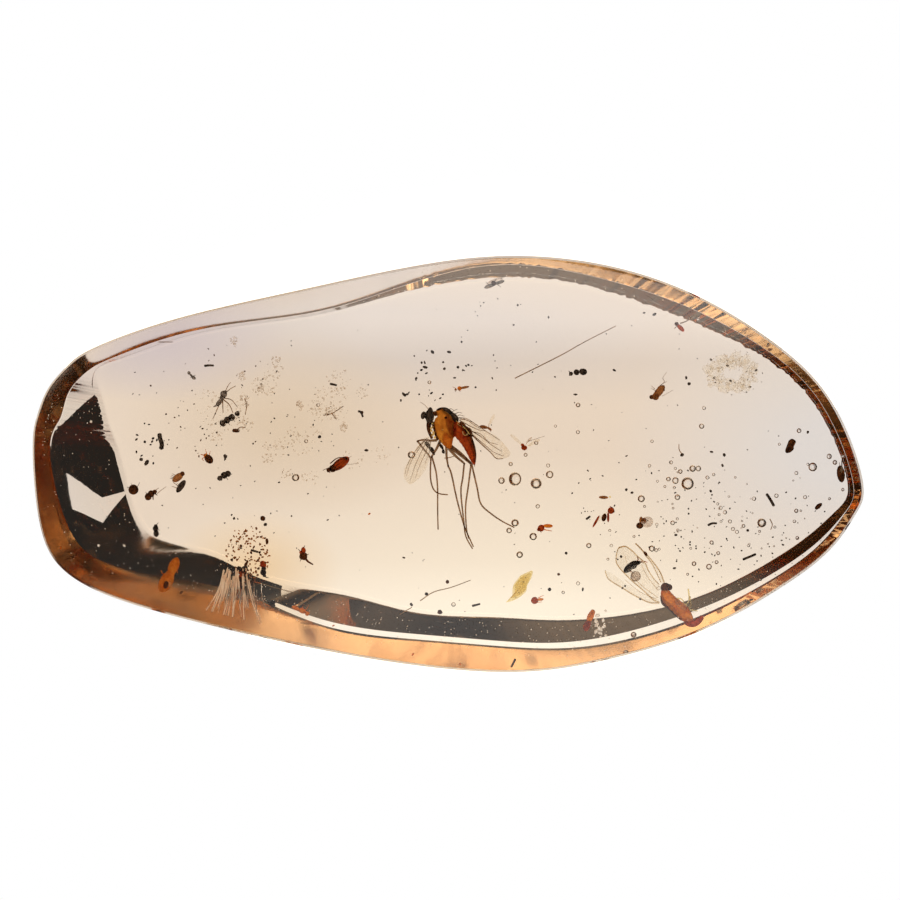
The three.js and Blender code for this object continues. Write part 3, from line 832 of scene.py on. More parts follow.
@inclusion("brown_insect", DARK, BLACK, BROWN)
def round_seed(c):
    c.bead(0.0, 0.0, 0.3, rough=0.06, stretch=(1, 1, 0.9))
    for k in range(26):
        turn, reach = 2.4 * k, 0.27 * math.sqrt((k + 0.5) / 26)
        x, y = reach * math.cos(turn), reach * math.sin(turn)
        c.bead(x, y, 0.045, k % 2 + 1, z=0.27 * math.sqrt(1 - reach ** 2 / 0.08))
    c.leg(0.012, -0.1, 0.28, -0.16, 0.45, slot=1).leg(0.015, 0.25, 0.18, 0.36, 0.35, 0.42, 0.5, slot=1)


@inclusion("brown_insect", DARK, HAIR)
def stout_beetle(c):
    c.bead(-0.18, -0.06, 0.2, stretch=(1, 1.1, 0.9)).bead(0.03, 0.14, 0.2).bead(0.26, 0.27, 0.13)
    c.leg(0.035, 0.14, 0.0, 0.15, -0.26).leg(0.03, 0.28, 0.15, 0.42, 0.03)
    c.leg(0.02, 0.3, 0.35, 0.52, 0.52, slot=1).leg(0.015, 0.42, 0.15, 0.75, 0.42, 1.02, 0.6, slot=1)
    c.leg(0.02, -0.25, 0.1, -0.35, 0.25)


@inclusion("black_insect", BLACK)
def small_black_fly(c):
    c.bead(0, 0.24, 0.11).bead(0, 0.07, 0.17).egg(0, 0.0, 0.05, -0.48, 0.16, ripple=0.08)
    c.legs(0.02, (0.06, 0.33, 0.17, 0.47), (0.1, 0, 0.26, -0.04), (0.1, -0.2, 0.25, -0.3))


@inclusion("brown_insect", DARK, BLACK, RED)
def two_headed_debris(c):
    c.bead(-0.04, 0.92, 0.18, 1, rough=0.2).bead(0.36, 0.96, 0.19, 1, rough=0.2)
    c.egg(0.35, 1.1, 0.5, 1.4, 0.09).egg(0.2, 0.85, 0.05, 0.4, 0.17, 2)
    c.egg(0.02, 0.45, -0.1, -0.45, 0.22, ripple=0.1).egg(0.0, -0.2, -0.12, -1.05, 0.17, 2, ripple=0.1)
    c.leg(0.05, -0.1, -0.1, -0.28, -0.5, -0.32, -0.8, slot=2)


@inclusion("black_insect", BLACK, RED)
def black_red_insect(c):
    c.bead(0.03, 0.07, 0.14).bead(0.0, -0.18, 0.18).bead(0.08, -0.38, 0.1).bead(0, 0.36, 0.2, 1, rough=0.3)
    c.legs(0.02, (-0.1, 0.4, -0.27, 0.6), (0.1, 0.4, 0.3, 0.55), slot=1)
    c.leg(0.03, 0.08, -0.4, 0.2, -0.5, 0.34, -0.52)


@inclusion("brown_insect", DARK, RED)
def brown_ant(c):
    c.egg(0.0, 0.45, 0.05, 0.0, 0.14, 1).bead(0.02, -0.15, 0.24, rough=0.2).bead(-0.14, 0.1, 0.1, 1)
    c.leg(0.025, 0.0, 0.35, 0.12, 0.55).leg(0.06, 0.15, -0.3, 0.35, -0.52, 0.66, -0.7)
    c.legs(0.02, (-0.15, 0.15, -0.34, 0.32), (-0.1, -0.3, -0.2, -0.5), (0.2, -0.1, 0.38, 0.0))


@inclusion("black_insect", BLACK)
def three_lobed_seed(c):
    c.bead(-0.13, 0, 0.12).bead(0.1, 0.1, 0.14).bead(0.1, -0.13, 0.13)


@inclusion("orange_insect", ORANGE)
def orange_midge(c):
    c.egg(-0.55, 0.22, -0.05, 0.0, 0.12).egg(-0.1, 0.02, 0.4, -0.16, 0.16, ripple=0.08)
    c.bead(0.48, -0.26, 0.13)
    c.legs(0.02, (0.1, 0.1, 0.25, 0.35), (0.4, 0, 0.6, 0.35), (-0.2, 0.1, -0.3, 0.35))


@inclusion("grey_insect", GREY, DARK, SMOKE)
def grey_blade(c):
    c.egg(-0.65, -0.25, 0.1, 0.02, 0.12, ripple=0.1).egg(0.0, 0.0, 0.7, 0.22, 0.1)
    c.bead(-0.02, 0.05, 0.15, 1).leg(0.03, 0.0, 0.1, 0.15, 0.35, slot=1)
    c.legs(0.02, (-0.3, -0.1, -0.55, 0.15), (0.2, 0.0, 0.45, -0.2))
    c.wing(-0.6, -0.1, 0.0, 0.15, 0.6, 0.32, 0.3, 0.4, -0.3, 0.2, slot=2)


@inclusion("black_insect", BLACK)
def black_ant(c):
    c.bead(-0.48, -0.12, 0.12).bead(-0.11, -0.02, 0.175).bead(0.33, 0.01, 0.2, stretch=(1.15, 1, 0.9))
    c.legs(0.03, (-0.55, -0.05, -0.62, 0.06), (-0.55, -0.15, -0.6, -0.25)).leg(0.02, 0.1, 0.1, 0.2, 0.22)


@inclusion("orange_insect", BROWN, ORANGE)
def little_orange_fly(c):
    c.bead(-0.4, -0.08, 0.07).bead(-0.15, 0.0, 0.13, 1).egg(-0.15, 0.0, 0.5, 0.12, 0.075)
    c.leg(0.02, -0.2, -0.05, -0.1, -0.22).leg(0.015, -0.4, 0, -0.62, 0.12)


@inclusion("brown_insect", RED, DARK, HAIR)
def long_brown_beetle(c):
    c.bead(-0.57, -0.46, 0.12, 1, rough=0.25).bead(-0.45, -0.38, 0.11, 1).bead(-0.28, -0.34, 0.22, 1)
    c.egg(-0.35, -0.42, 0.8, 0.38, 0.29, ripple=0.03, ripples=8)
    for k in range(4):
        side = 0.16 * (k - 1.5)
        c.leg(0.03, -0.3 - 0.6 * side, -0.25 + side, 0.2 - 0.6 * side, 0.12 + side, 0.72, 0.36, slot=1,
              z=0.2, drop=0)
    c.leg(0.02, -0.42, -0.25, -0.73, -0.37, -0.94, -0.47, slot=1)
    c.leg(0.03, -0.6, -0.5, -0.45, -0.62, slot=1)
    c.legs(0.012, (0.55, -0.05, 0.95, -0.06, 1.3, 0.02), (0.75, 0.35, 0.98, 0.48), slot=2)


@inclusion("grey_insect", BROWN, WING, HAIR)
def pale_gnat(c):
    c.egg(-0.5, 0.2, 0.05, 0.08, 0.1).egg(0.0, 0.12, 0.3, -0.08, 0.07).leg(0.02, 0.2, -0.02, 0.24, -0.2)
    c.wing(0.08, 0.3, 0.2, 0.65, 0.4, 0.98, 0.52, 0.9, 0.42, 0.6, 0.2, 0.3, slot=1)
    c.leg(0.015, 0.1, 0.1, 0.12, 0.35, slot=2)


@inclusion("brown_insect", RED, WING, SMOKE, HAIR)
def long_winged_gnat(c):
    c.bead(0.02, -0.03, 0.16, rough=0.2).bead(-0.1, 0.14, 0.1)
    c.wing(-0.12, 0.12, -0.5, 0.35, -0.9, 0.75, -0.8, 0.85, -0.45, 0.6, -0.1, 0.2, slot=1)
    c.wing(0.08, 0.12, 0.25, 0.5, 0.5, 0.68, 0.5, 0.55, 0.3, 0.35, slot=2)
    c.wing(0.15, 0.05, 0.5, 0.1, 1.05, 0.42, 0.95, 0.55, 0.6, 0.42, slot=1)
    c.leg(0.012, 0.3, 0.4, 1.4, 0.75, slot=3)


@inclusion("orange_insect", RED, ORANGE)
def red_gnat(c):
    c.bead(-0.12, -0.05, 0.2, rough=0.15).bead(-0.28, -0.15, 0.1).egg(0.0, 0.1, 0.66, 0.08, 0.11, 1)
    c.leg(0.025, 0.05, -0.15, 0.6, -0.25, slot=1).leg(0.02, -0.2, -0.2, -0.1, -0.36)


@inclusion("orange_insect", BROWN, STRAW)
def orange_splinter(c):
    c.egg(-0.32, 0.0, 0.3, -0.02, 0.1, ripple=0.15, ripples=4).bead(0.42, 0.02, 0.06, 1)


@inclusion("brown_insect", RED, DARK, WING)
def orange_brown_fly(c):
    c.bead(0.37, 0.22, 0.2, rough=0.15).bead(0.52, 0.16, 0.08, 1).egg(-0.02, 0.02, -0.16, -0.5, 0.14, 1)
    c.egg(0.18, 0.1, 0.18, -0.56, 0.07).egg(-0.4, -0.1, -0.85, -0.9, 0.07)
    c.wing(0.3, 0.15, 0.0, 0.1, -0.5, -0.3, -0.75, -0.75, -0.4, -0.45, 0.1, -0.05, slot=2)
    c.leg(0.03, 0.45, 0.4, 0.3, 0.5)


@inclusion("brown_insect", BROWN, DARK, SMOKE)
def brown_tuft(c):
    c.bead(-0.2, -0.17, 0.2, 1, rough=0.25).egg(-0.15, 0.0, -0.1, 0.42, 0.1)
    c.bead(0.28, 0.05, 0.36, 2, rough=0.35, stretch=(1, 0.9, 0.4)).bead(0.1, 0.15, 0.16, rough=0.3)


@inclusion("brown_insect", BROWN, DARK, HAIR)
def brown_fly(c):
    c.bead(-0.41, -0.33, 0.13, 1).bead(-0.14, -0.3, 0.21).egg(-0.28, -0.42, 0.44, 0.44, 0.22, ripple=0.06)
    c.leg(0.05, 0.42, 0.1, 0.38, 0.4, slot=1)
    c.legs(0.015, (0.15, 0.4, 0.44, 0.68, 0.34, 0.95, 0.6, 1.3), (-0.2, 0.2, -0.42, 0.42),
           (-0.15, 0.1, -0.45, 0.25), (0.0, 0.3, 0.25, 0.5, 0.6, 0.7), slot=2)
    c.leg(0.012, 0.3, -0.27, 1.05, 0.15, slot=2)


@inclusion("brown_insect", RED, DARK, HAIR)
def red_brown_gnat(c):
    c.bead(-0.2, 0.17, 0.12, 1).egg(-0.18, 0.14, 0.3, -0.33, 0.13, ripple=0.1)
    c.leg(0.03, 0.05, 0.2, 0.5, 0.37, 0.82, 0.62, slot=2).leg(0.02, -0.2, 0.0, -0.35, -0.15, slot=2)


@inclusion("black_insect", BLACK, DARK)
def bark_block(c):
    block = [(-0.08, 0.36), (0.13, 0.48), (0.4, 0.3), (0.26, -0.06), (0.25, -0.24), (0.0, -0.45),
             (-0.26, -0.48), (-0.32, -0.3), (-0.22, 0.0)]
    for k in range(6):
        c.put(membrane(np.array(block) * (1 - 0.04 * abs(k - 2.5)), 0.08 * (k - 2.5), 0.1, 0.03), k % 2)


@inclusion("brown_insect", DARK, STRAW, HAIR)
def rim_beetle(c):
    c.egg(0.28, 0.4, 0.42, -0.72, 0.24, ripple=0.06).egg(0.35, 0.3, 0.38, -0.1, 0.1, 1, z=0.2)
    c.leg(0.03, 0.42, 0.35, 0.42, 0.7, 0.5, 0.95)
    c.legs(0.02, (0.55, -0.1, 0.7, 0.25, 0.82, 0.4), (0.3, 0.35, 0.25, 0.6), slot=2)


@inclusion("black_insect", BLACK)
def thin_splinter(c):
    c.leg(0.07, -0.24, 0.36, 0.0, 0.0, 0.24, -0.42, taper=1, drop=0)


@inclusion("black_insect", BLACK)
def dark_splinter(c):
    c.leg(0.06, -0.42, -0.17, 0.0, 0.0, 0.42, 0.18, taper=1, drop=0).bead(0.32, 0.14, 0.07)
    c.bead(-0.3, -0.12, 0.07)


@inclusion("orange_insect", RED, ORANGE)
def red_insect_at_rim(c):
    c.bead(-0.15, 0.07, 0.21, rough=0.15).egg(0.0, 0.12, 0.45, 0.16, 0.08, 1)
    c.legs(0.02, (0.1, 0.25, 0.45, 0.42), (0.0, -0.05, 0.35, -0.02), slot=1)


@inclusion("orange_insect", ORANGE, RED)
def orange_grub(c):
    c.egg(0.25, 0.7, -0.1, -0.1, 0.2, ripple=0.12).egg(0.0, 0.05, -0.3, -0.65, 0.22, 1, ripple=0.12)
    c.bead(0.22, 0.6, 0.15).bead(-0.32, -0.35, 0.12)


@inclusion("black_insect", BLACK, RED)
def beetle_under_wing(c):
    c.egg(-0.5, -0.32, 0.02, 0.02, 0.19).egg(-0.12, -0.06, 0.35, 0.2, 0.19).egg(0.2, 0.14, 0.6, 0.34, 0.12)
    c.leg(0.025, 0.5, 0.32, 0.85, 0.36, 1.05, 0.28, slot=1)
    c.leg(0.03, -0.2, -0.15, -0.02, -0.32, 0.15, -0.35, slot=1)
    c.leg(0.025, 0.3, 0.28, 0.42, 0.48, 0.36, 0.62, slot=1)


@inclusion("brown_insect", SMOKE, HAIR)
def pink_seed(c):
    c.bead(0.03, 0.17, 0.3, rough=0.03, stretch=(1, 1, 0.5))
    ring = [(0.03 + 0.3 * math.cos(a), 0.17 + 0.3 * math.sin(a)) for a in np.linspace(0.3, 5.7, 14)]
    c.leg(0.03, *np.array(ring).ravel(), slot=1, taper=1, drop=0)


@inclusion("grey_insect", GREY)
def grey_springtail(c):
    c.bead(-0.13, 0.22, 0.1).egg(-0.08, 0.15, 0.1, -0.02, 0.06).egg(0.05, 0.02, 0.3, -0.2, 0.1)
    c.legs(0.015, (0.02, 0.0, -0.02, -0.15), (0.2, 0.05, 0.32, 0.08))


@inclusion("pale_debris", STRAW, DARK)
def pale_flake(c):
    flake = [(0.0, 0.72), (0.78, 1.05), (0.74, 0.58), (0.48, 0.1), (0.35, -0.37), (-0.27, -0.85),
             (-0.95, -1.05), (-0.57, -0.7), (-0.47, 0.05)]
    c.wing(*np.array(flake).ravel(), wave=0.05).wing(*(np.array(flake) * 0.8 + 0.05).ravel(), z=0.12)
    for x, y in ((-0.1, -0.4), (0.2, 0.3), (-0.3, -0.75), (0.35, 0.6)):
        c.bead(x, y, 0.035, 1)


@inclusion("pale_debris", FILM, MIST, GREY)
def frilly_film(c):
    for k in range(5, 34):
        turn, reach = 2.4 * k, math.sqrt((k + 0.5) / 34)
        x, y = 1.75 * reach * math.cos(turn) - 0.3 * reach, 1.2 * reach * math.sin(turn)
        size = c.dice.uniform(0.25, 0.5)
        patch = [(x + size * c.dice.uniform(0.6, 1.2) * math.cos(a),
                  y + size * c.dice.uniform(0.5, 1.0) * math.sin(a)) for a in np.linspace(0, 5.4, 7)]
        c.wing(*np.array(patch).ravel(), z=c.dice.uniform(-0.1, 0.1))
        c.scatter(x, y, size, size, 9, 0.02, 0.06, 1, 0.4)
    c.scatter(0, 0, 2.0, 1.5, 30, 0.02, 0.05, 2)
    for x, y in ((-1.7, 0.9), (-1.5, -0.3), (-0.6, 0.5), (-0.4, -0.5), (1.3, 0.2), (0.9, -0.9)):
        c.grain(x, y, 0.09, 2)


def small_inclusions():
    """The small inclusions, each in its own node's place."""
    for draw, slot, materials in INCLUSIONS:
        c = Creature(draw.__name__)
        draw(c)
        c.done(draw.__name__ + "_detail", slot, *materials)


def mosquito():
    """The mosquito, from the middle of its CAD node."""
    c = Creature("mosquito", stout=1.0, limb=1.0)
    # head, its two feelers' bases, the mouthparts and the cream scales beside them
    c.body((-1.9, 4.66, 0.1), (-1.92, 4.42, 0.22), (-1.97, 4.15, 0.33), (-1.95, 3.9, 0.27),
           (-1.98, 3.62, 0.16), (-2.0, 3.4, 0.13), slot=1).egg(-2.36, 4.38, -2.42, 3.9, 0.15, 1)
    c.bead(-2.34, 4.28, 0.14, 1).bead(-2.2, 4.1, 0.14, 1).egg(-1.75, 4.35, -1.4, 4.2, 0.16, 3)
    c.leg(0.02, -2.05, 4.57, -2.24, 4.81, -2.57, 5.04, slot=6)
    c.body((-2.0, 3.61, 0.17), (-2.02, 3.3, 0.13), (-1.96, 3.0, 0.1), (-1.8, 2.64, 0.09), slot=3)
    c.body((-1.74, 3.7, 0.13), (-1.6, 3.2, 0.1), (-1.52, 2.87, 0.09), (-1.4, 2.55, 0.1), slot=3)
    for x, y in ((-1.76, 3.6), (-1.74, 3.38), (-1.84, 3.14), (-1.68, 3.04), (-1.8, 2.84), (-1.88, 3.3),
                 (-1.6, 2.7), (-1.7, 2.9)):
        c.bead(x, y, 0.08, 4, z=0.2, rough=0.5)
    # thorax: amber, dark along its back
    c.body((-1.5, 4.4, 0.15), (-1.22, 4.3, 0.45), (-1.03, 3.95, 0.64), (-0.97, 3.5, 0.7), (-0.9, 3.0, 0.62),
           (-0.82, 2.6, 0.48), (-0.72, 2.25, 0.3), (-0.65, 2.0, 0.12))
    c.egg(-0.7, 4.4, -0.35, 2.7, 0.33, 2, z=-0.2).egg(-0.95, 3.0, -0.6, 1.95, 0.3, 5, z=0.2)
    c.egg(-1.15, 4.64, -0.38, 4.12, 0.23, 1, z=0.15).egg(-0.6, 4.34, -0.05, 3.74, 0.22, 1, z=0.15)
    c.egg(-1.5, 4.5, -1.0, 4.66, 0.09, 3, z=0.2).bead(-0.87, 4.0, 0.09, 3, z=0.6)
    # the cream bead on top of the thorax is a painted highlight
    c.bead(-1.1, 3.21, 0.07, 4, z=0.66)
    c.legs(0.022, (-0.7, 4.51, -0.54, 4.6, -0.34, 4.5), (-0.5, 4.37, -0.27, 4.5, -0.1, 4.56),
           (-0.3, 4.24, 0.0, 4.36, 0.2, 4.3), (-0.2, 4.07, 0.05, 4.18, 0.36, 4.1),
           (-0.1, 3.96, 0.2, 4.0, 0.4, 3.9), slot=3, z=0.2, drop=0)
    # abdomen, ringed, with a dark far side, and a pale ring on it that is a painted highlight of a bubble's
    # rim
    c.body((-0.45, 3.5, 0.3), (-0.16, 3.29, 0.47), (0.24, 2.79, 0.42), (0.55, 2.27, 0.35),
           (0.76, 1.77, 0.28), (0.94, 1.21, 0.18), (1.03, 0.9, 0.07), slot=2, ripple=0.08, ripples=11)
    c.body((0.0, 3.55, 0.15), (0.5, 3.0, 0.2), (0.85, 2.3, 0.17), (1.03, 1.6, 0.13), (1.06, 1.05, 0.06),
           slot=3, z=-0.15)
    c.leg(0.035, 0.24, 3.1, 0.3, 2.9, 0.46, 2.84, 0.62, 2.98, slot=4, z=0.45, drop=0, taper=1)
    c.leg(0.03, 1.0, 1.0, 1.06, 0.75, slot=6)
    # bases of the wings, with pale lines along them that are painted highlights
    c.egg(0.36, 3.46, 0.9, 2.74, 0.18, 3, z=0.2).egg(0.05, 3.74, 0.45, 3.42, 0.1, 3, z=0.2)
    c.legs(0.04, (-0.2, 3.8, 0.05, 3.62), (0.24, 3.42, 0.48, 3.22, 0.72, 2.9), (-0.1, 3.6, 0.1, 3.45),
           slot=4, z=0.42, drop=0, taper=0.8)
    mosquito_wings(c)
    mosquito_legs(c)
    c.done("mosquito_detail", "mosquito", AMBER, BLACK, RED, DARK, CREAM_SCALES_AND_GLINTS, ORANGE, LIMB, WING)


def mosquito_wings(c):
    """Two long clear wings with their veins."""
    c.wing(-0.07, 3.97, 0.26, 3.94, 0.7, 3.85, 1.3, 3.47, 1.93, 3.06, 2.53, 2.74, 3.16, 2.06, 3.42, 1.67,
           3.25, 1.38, 2.74, 1.29, 2.48, 1.3, 1.72, 2.05, 1.12, 2.59, 0.73, 2.94, 0.26, 3.41, slot=7,
           z=0.25, wave=0.06)
    c.legs(0.03, (0.03, 3.84, 0.7, 3.47, 1.3, 3.21, 1.72, 3.13),
           (0.06, 3.92, 0.6, 3.81, 1.04, 3.49, 1.46, 3.25),
           (0.46, 3.34, 0.96, 3.07, 1.46, 2.91, 1.98, 2.41, 2.57, 2.23),
           (0.73, 3.82, 1.4, 3.38, 2.06, 2.94, 2.73, 2.51),
           (0.6, 3.17, 0.83, 2.95, 1.68, 2.23, 2.32, 1.72, 2.95, 1.47),
           (0.8, 3.14, 1.53, 2.71, 2.2, 2.17, 2.86, 1.77), (0.0, 4.0, 0.5, 3.95, 0.9, 3.72), slot=6, z=0.27,
           drop=0, taper=0.45)
    c.leg(0.045, 0.53, 3.21, 1.12, 2.61, 1.72, 2.05, 2.1, 1.71, 2.48, 1.31, 2.93, 1.3, slot=6, z=0.27,
          drop=0, taper=0.5)
    c.wing(-2.0, 2.74, -2.23, 2.71, -2.74, 2.14, -3.07, 1.61, -3.4, 1.07, -3.63, 0.61, -3.67, 0.14, -3.5,
           -0.23, -3.2, -0.39, -2.8, -0.13, -2.47, 0.21, -2.17, 0.67, -2.0, 1.21, -1.87, 1.74, -1.84, 2.27,
           slot=7, z=0.1)
    c.legs(0.022, (-2.14, 2.64, -2.6, 2.04, -3.2, 1.07, -3.5, 0.14),
           (-2.07, 2.61, -2.44, 1.87, -2.9, 0.87, -3.24, -0.13),
           (-1.97, 2.54, -2.2, 1.74, -2.57, 0.94, -2.9, 0.01), (-1.9, 2.41, -1.97, 1.74, -2.27, 0.94),
           (-2.34, 2.47, -2.87, 1.84, -3.4, 0.94, -3.6, 0.27), slot=6, z=0.12, drop=0, taper=0.4)


def mosquito_legs(c):
    """Six long legs: how stout each one's upper part is, the path of that and of the thin lower part."""
    legs = [
        (0.09, (-1.47, 2.51, -1.94, 2.49, -2.34, 2.54, -2.75, 2.47),
         (-2.75, 2.44, -2.3, 1.87, -1.9, 1.35, -1.9, 0.67, -1.88, -0.11, -1.68, -0.75, -1.3, -1.02,
          -0.74, -1.09)),
        (0.1, (-1.24, 2.47, -1.5, 1.94, -1.82, 1.42),
         (-1.8, 1.41, -1.66, 0.94, -1.5, 0.27, -1.42, -0.73, -1.42, -1.99, -1.39, -3.39)),
        (0.09, (-0.84, 2.07, -0.82, 1.41, -0.72, 0.81),
         (-0.72, 0.81, -0.5, 0.27, -0.14, -1.39, 0.32, -3.07, 0.5, -3.53, 0.96, -4.53)),
        (0.11, (-0.67, 1.97, -0.2, 1.45, 0.32, 1.01),
         (0.35, 0.97, 0.25, 0.01, 0.13, -0.93, 0.32, -2.82, 0.46, -3.84, 0.9, -4.66)),
        (0.12, (-0.57, 2.14, 0.1, 1.65, 0.8, 0.99),
         (0.8, 0.87, 0.62, -0.53, 0.44, -1.9, 0.5, -3.33, 0.65, -3.99)),
        (0.13, (-0.54, 2.04, 0.13, 1.52, 0.83, 0.94),
         (0.85, 0.91, 1.21, -0.63, 1.46, -1.7, 2.16, -2.36, 2.92, -2.87, 3.68, -3.25)),
    ]
    for stout, upper, lower in legs:
        c.leg(stout, *upper, slot=6, z=0.0, drop=0.1, taper=0.6)
        c.leg(0.06, *lower, slot=6, z=-0.1, drop=0.45, taper=0.7)
        c.bead(*lower[:2], 0.075, 6, z=-0.1)  # the knee


def winged_insect():
    """The winged insect at the lower rim, from the middle of its CAD node."""
    c = Creature("winged_insect", stout=1.0, limb=1.0)
    # head, thorax with its dark underside, ringed abdomen with a straw patch on top that is a painted
    # highlight, and upturned tail
    c.bead(0.7, -0.21, 0.32, 1, rough=0.15).bead(0.95, -0.2, 0.22, 1).bead(0.62, -0.42, 0.2, 0)
    c.body((0.55, -0.35, 0.15), (0.68, -0.6, 0.34), (0.9, -0.95, 0.42), (1.15, -1.2, 0.42),
           (1.5, -1.5, 0.46), (1.85, -1.85, 0.47), (2.15, -2.2, 0.4), (2.35, -2.45, 0.28), ripple=0.06,
           ripples=9)
    c.body((0.45, -0.75, 0.1), (0.62, -1.2, 0.2), (1.0, -1.5, 0.2), (1.4, -1.95, 0.15), (1.8, -2.35, 0.1),
           slot=1, z=-0.2)
    c.body((2.1, -2.42, 0.28), (2.4, -2.6, 0.25), (2.7, -2.58, 0.22), (2.95, -2.4, 0.2),
           (3.14, -2.16, 0.16), slot=4).egg(1.3, -1.05, 2.1, -1.7, 0.2, 3, z=0.3)
    c.bead(0.78, -0.5, 0.08, 3, z=0.36)
    c.legs(0.02, (0.45, -0.25, 0.25, -0.15, 0.1, -0.32), (0.4, -0.3, 0.2, -0.4), slot=2)
    # straw-coloured legs
    c.legs(0.05, (1.78, -1.26, 2.11, -1.37, 2.33, -1.76), (2.22, -0.32, 2.28, -0.98, 2.06, -1.37),
           (2.33, -0.82, 2.36, -1.5, 2.1, -1.9), (2.2, -1.7, 2.83, -1.78),
           (1.4, -0.95, 1.75, -0.98, 2.0, -1.3), slot=3, z=0.1, taper=0.8)
    # three clear wings, their edges and veins
    narrow = (0.62, 0.12, 0.29, 0.9, -0.43, 1.84, -0.76, 2.17, -1.29, 2.69, -0.87, 2.28, -0.62, 1.89,
              -0.15, 1.28, 0.4, 0.12)
    broad = (0.29, -1.2, -0.1, -1.04, -0.76, -0.43, -1.65, 0.34, -2.42, 1.17, -2.59, 1.67, -2.42, 2.39,
             -1.98, 2.5, -1.53, 2.22, -1.15, 1.84, -0.65, 1.39, -0.43, 0.9, -0.05, 0.34, 0.29, -0.04)
    lower = (0.3, -1.25, -0.43, -1.2, -1.53, -0.65, -2.15, -0.26, -2.7, 0.06, -3.14, 0.4, -3.31, 0.9,
             -2.7, 0.6, -1.7, -0.1)
    for k, outline in enumerate((narrow, broad, lower)):
        c.wing(*outline, slot=5, z=0.1 - 0.15 * k, wave=0.05)
    c.legs(0.045, narrow[:10], narrow[8:], broad[:16], broad[12:], lower[:14],
           slot=7, z=0.1, drop=0.1, taper=0.6)
    c.legs(0.02, (0.2, -0.4, -0.5, 0.5, -0.9, 1.3), (0.2, -0.9, -1.1, 0.1, -1.7, 1.0, -2.0, 1.9),
           (0.1, -1.0, -1.0, -0.5, -2.0, 0.3), slot=7, z=0.1, drop=0.1, taper=0.6)
    # the curved black rod over the broad wing, a pink bubble and dark grains
    c.body((-2.0, 0.86, 0.1), (-1.84, 1.1, 0.14), (-1.45, 1.38, 0.15), (-1.2, 1.42, 0.13),
           (-0.98, 1.45, 0.06), slot=6, z=0.1).leg(0.03, -1.25, 1.5, -1.1, 1.62, -1.2, 1.85, slot=4, z=0.1)
    c.leg(0.03, -0.98, 1.45, -0.7, 1.4, slot=2, z=0.1)
    c.bead(-1.23, 0.54, 0.3, 8, rough=0.03, stretch=(1, 1, 0.4))
    c.egg(-0.72, 2.16, -0.52, 1.86, 0.1, 1, z=0.1)
    for x, y, size in ((-2.25, 1.82, 0.09), (-2.15, -0.26, 0.08), (-1.98, -0.12, 0.07),
                       (-0.97, -0.98, 0.08)):
        c.bead(x, y, size, 6)
    c.done("winged_insect_detail", "winged_insect", ORANGE, DARK, HAIR, STRAW, RED, FILM, BLACK, VEIN,
           SMOKE)


# Gas bubbles: x, y and how wide each is.
BUBBLES = [
    (8.7, 3.9, 0.33), (8.7, 2.1, 0.27), (7.2, 2.5, 0.20), (6.7, -0.1, 0.27), (4.2, 0.0, 0.30),
    (3.6, -1.1, 0.47), (4.5, -1.0, 0.93), (5.9, -1.3, 0.77), (6.8, -0.7, 0.53), (4.5, -3.9, 0.53),
    (4.1, -4.4, 0.40), (5.7, -4.8, 0.53), (6.0, -2.8, 0.30), (4.8, -6.0, 0.47), (9.4, -5.4, 0.37),
    (10.8, -4.4, 0.20), (10.9, -5.4, 0.23), (5.9, 1.4, 0.30), (5.2, 0.6, 0.27), (-1.2, 5.4, 0.27),
    (0.4, -9.3, 0.30), (-8.6, 3.9, 0.27), (-9.4, 1.5, 0.27), (17.1, 3.7, 0.27), (16.7, 9.6, 0.27),
    (16.9, 2.5, 0.37), (13.6, 1.5, 0.23), (14.9, 0.1, 0.27), (16.3, -0.3, 0.47), (16.7, -0.3, 0.40),
    (15.5, -0.5, 0.33), (14.7, -1.0, 0.33), (15.2, -1.1, 0.47), (16.0, -1.3, 0.87), (17.3, -0.9, 0.27),
    (17.7, -0.7, 0.23), (14.5, -1.5, 0.20), (15.3, -2.2, 0.40), (20.4, -2.3, 0.30), (18.2, -2.9, 0.27),
    (18.5, -3.2, 0.30), (18.8, -3.8, 0.27), (19.7, -4.1, 0.27), (19.0, -4.3, 0.27), (19.3, -4.5, 0.27),
    (18.2, -3.8, 0.20), (15.0, -3.9, 0.33), (12.9, -2.3, 0.50), (13.1, -2.8, 0.20), (12.4, -4.8, 0.20),
    (13.6, -5.6, 0.43), (13.9, -5.7, 0.27), (16.4, -6.6, 0.33), (17.4, -6.8, 0.40), (17.9, -6.5, 0.27),
    (17.6, -5.2, 0.30), (18.0, -5.9, 0.27), (16.0, -7.3, 0.20), (8.7, -7.9, 0.27), (7.7, -8.5, 0.23),
    (10.7, -6.3, 0.20), (24.3, -0.2, 0.60), (25.4, 0.5, 0.37), (25.8, 0.1, 0.33), (26.3, 0.5, 0.27),
    (23.2, -0.6, 0.27), (22.1, 1.3, 0.20), (23.4, 2.2, 0.33), (21.9, -2.1, 0.30), (23.2, -3.1, 0.30),
    (20.9, -3.9, 0.63), (23.1, -3.8, 0.23), (23.3, -4.9, 0.27), (25.4, -2.3, 0.20), (26.3, -1.7, 0.23),
    (23.8, -2.2, 0.27), (12.4, -11.3, 0.40), (11.9, -12.5, 0.40), (-2.4, 0.6, 0.53), (1.4, 2.2, 0.47),
    (-10.1, -0.9, 0.53),
]

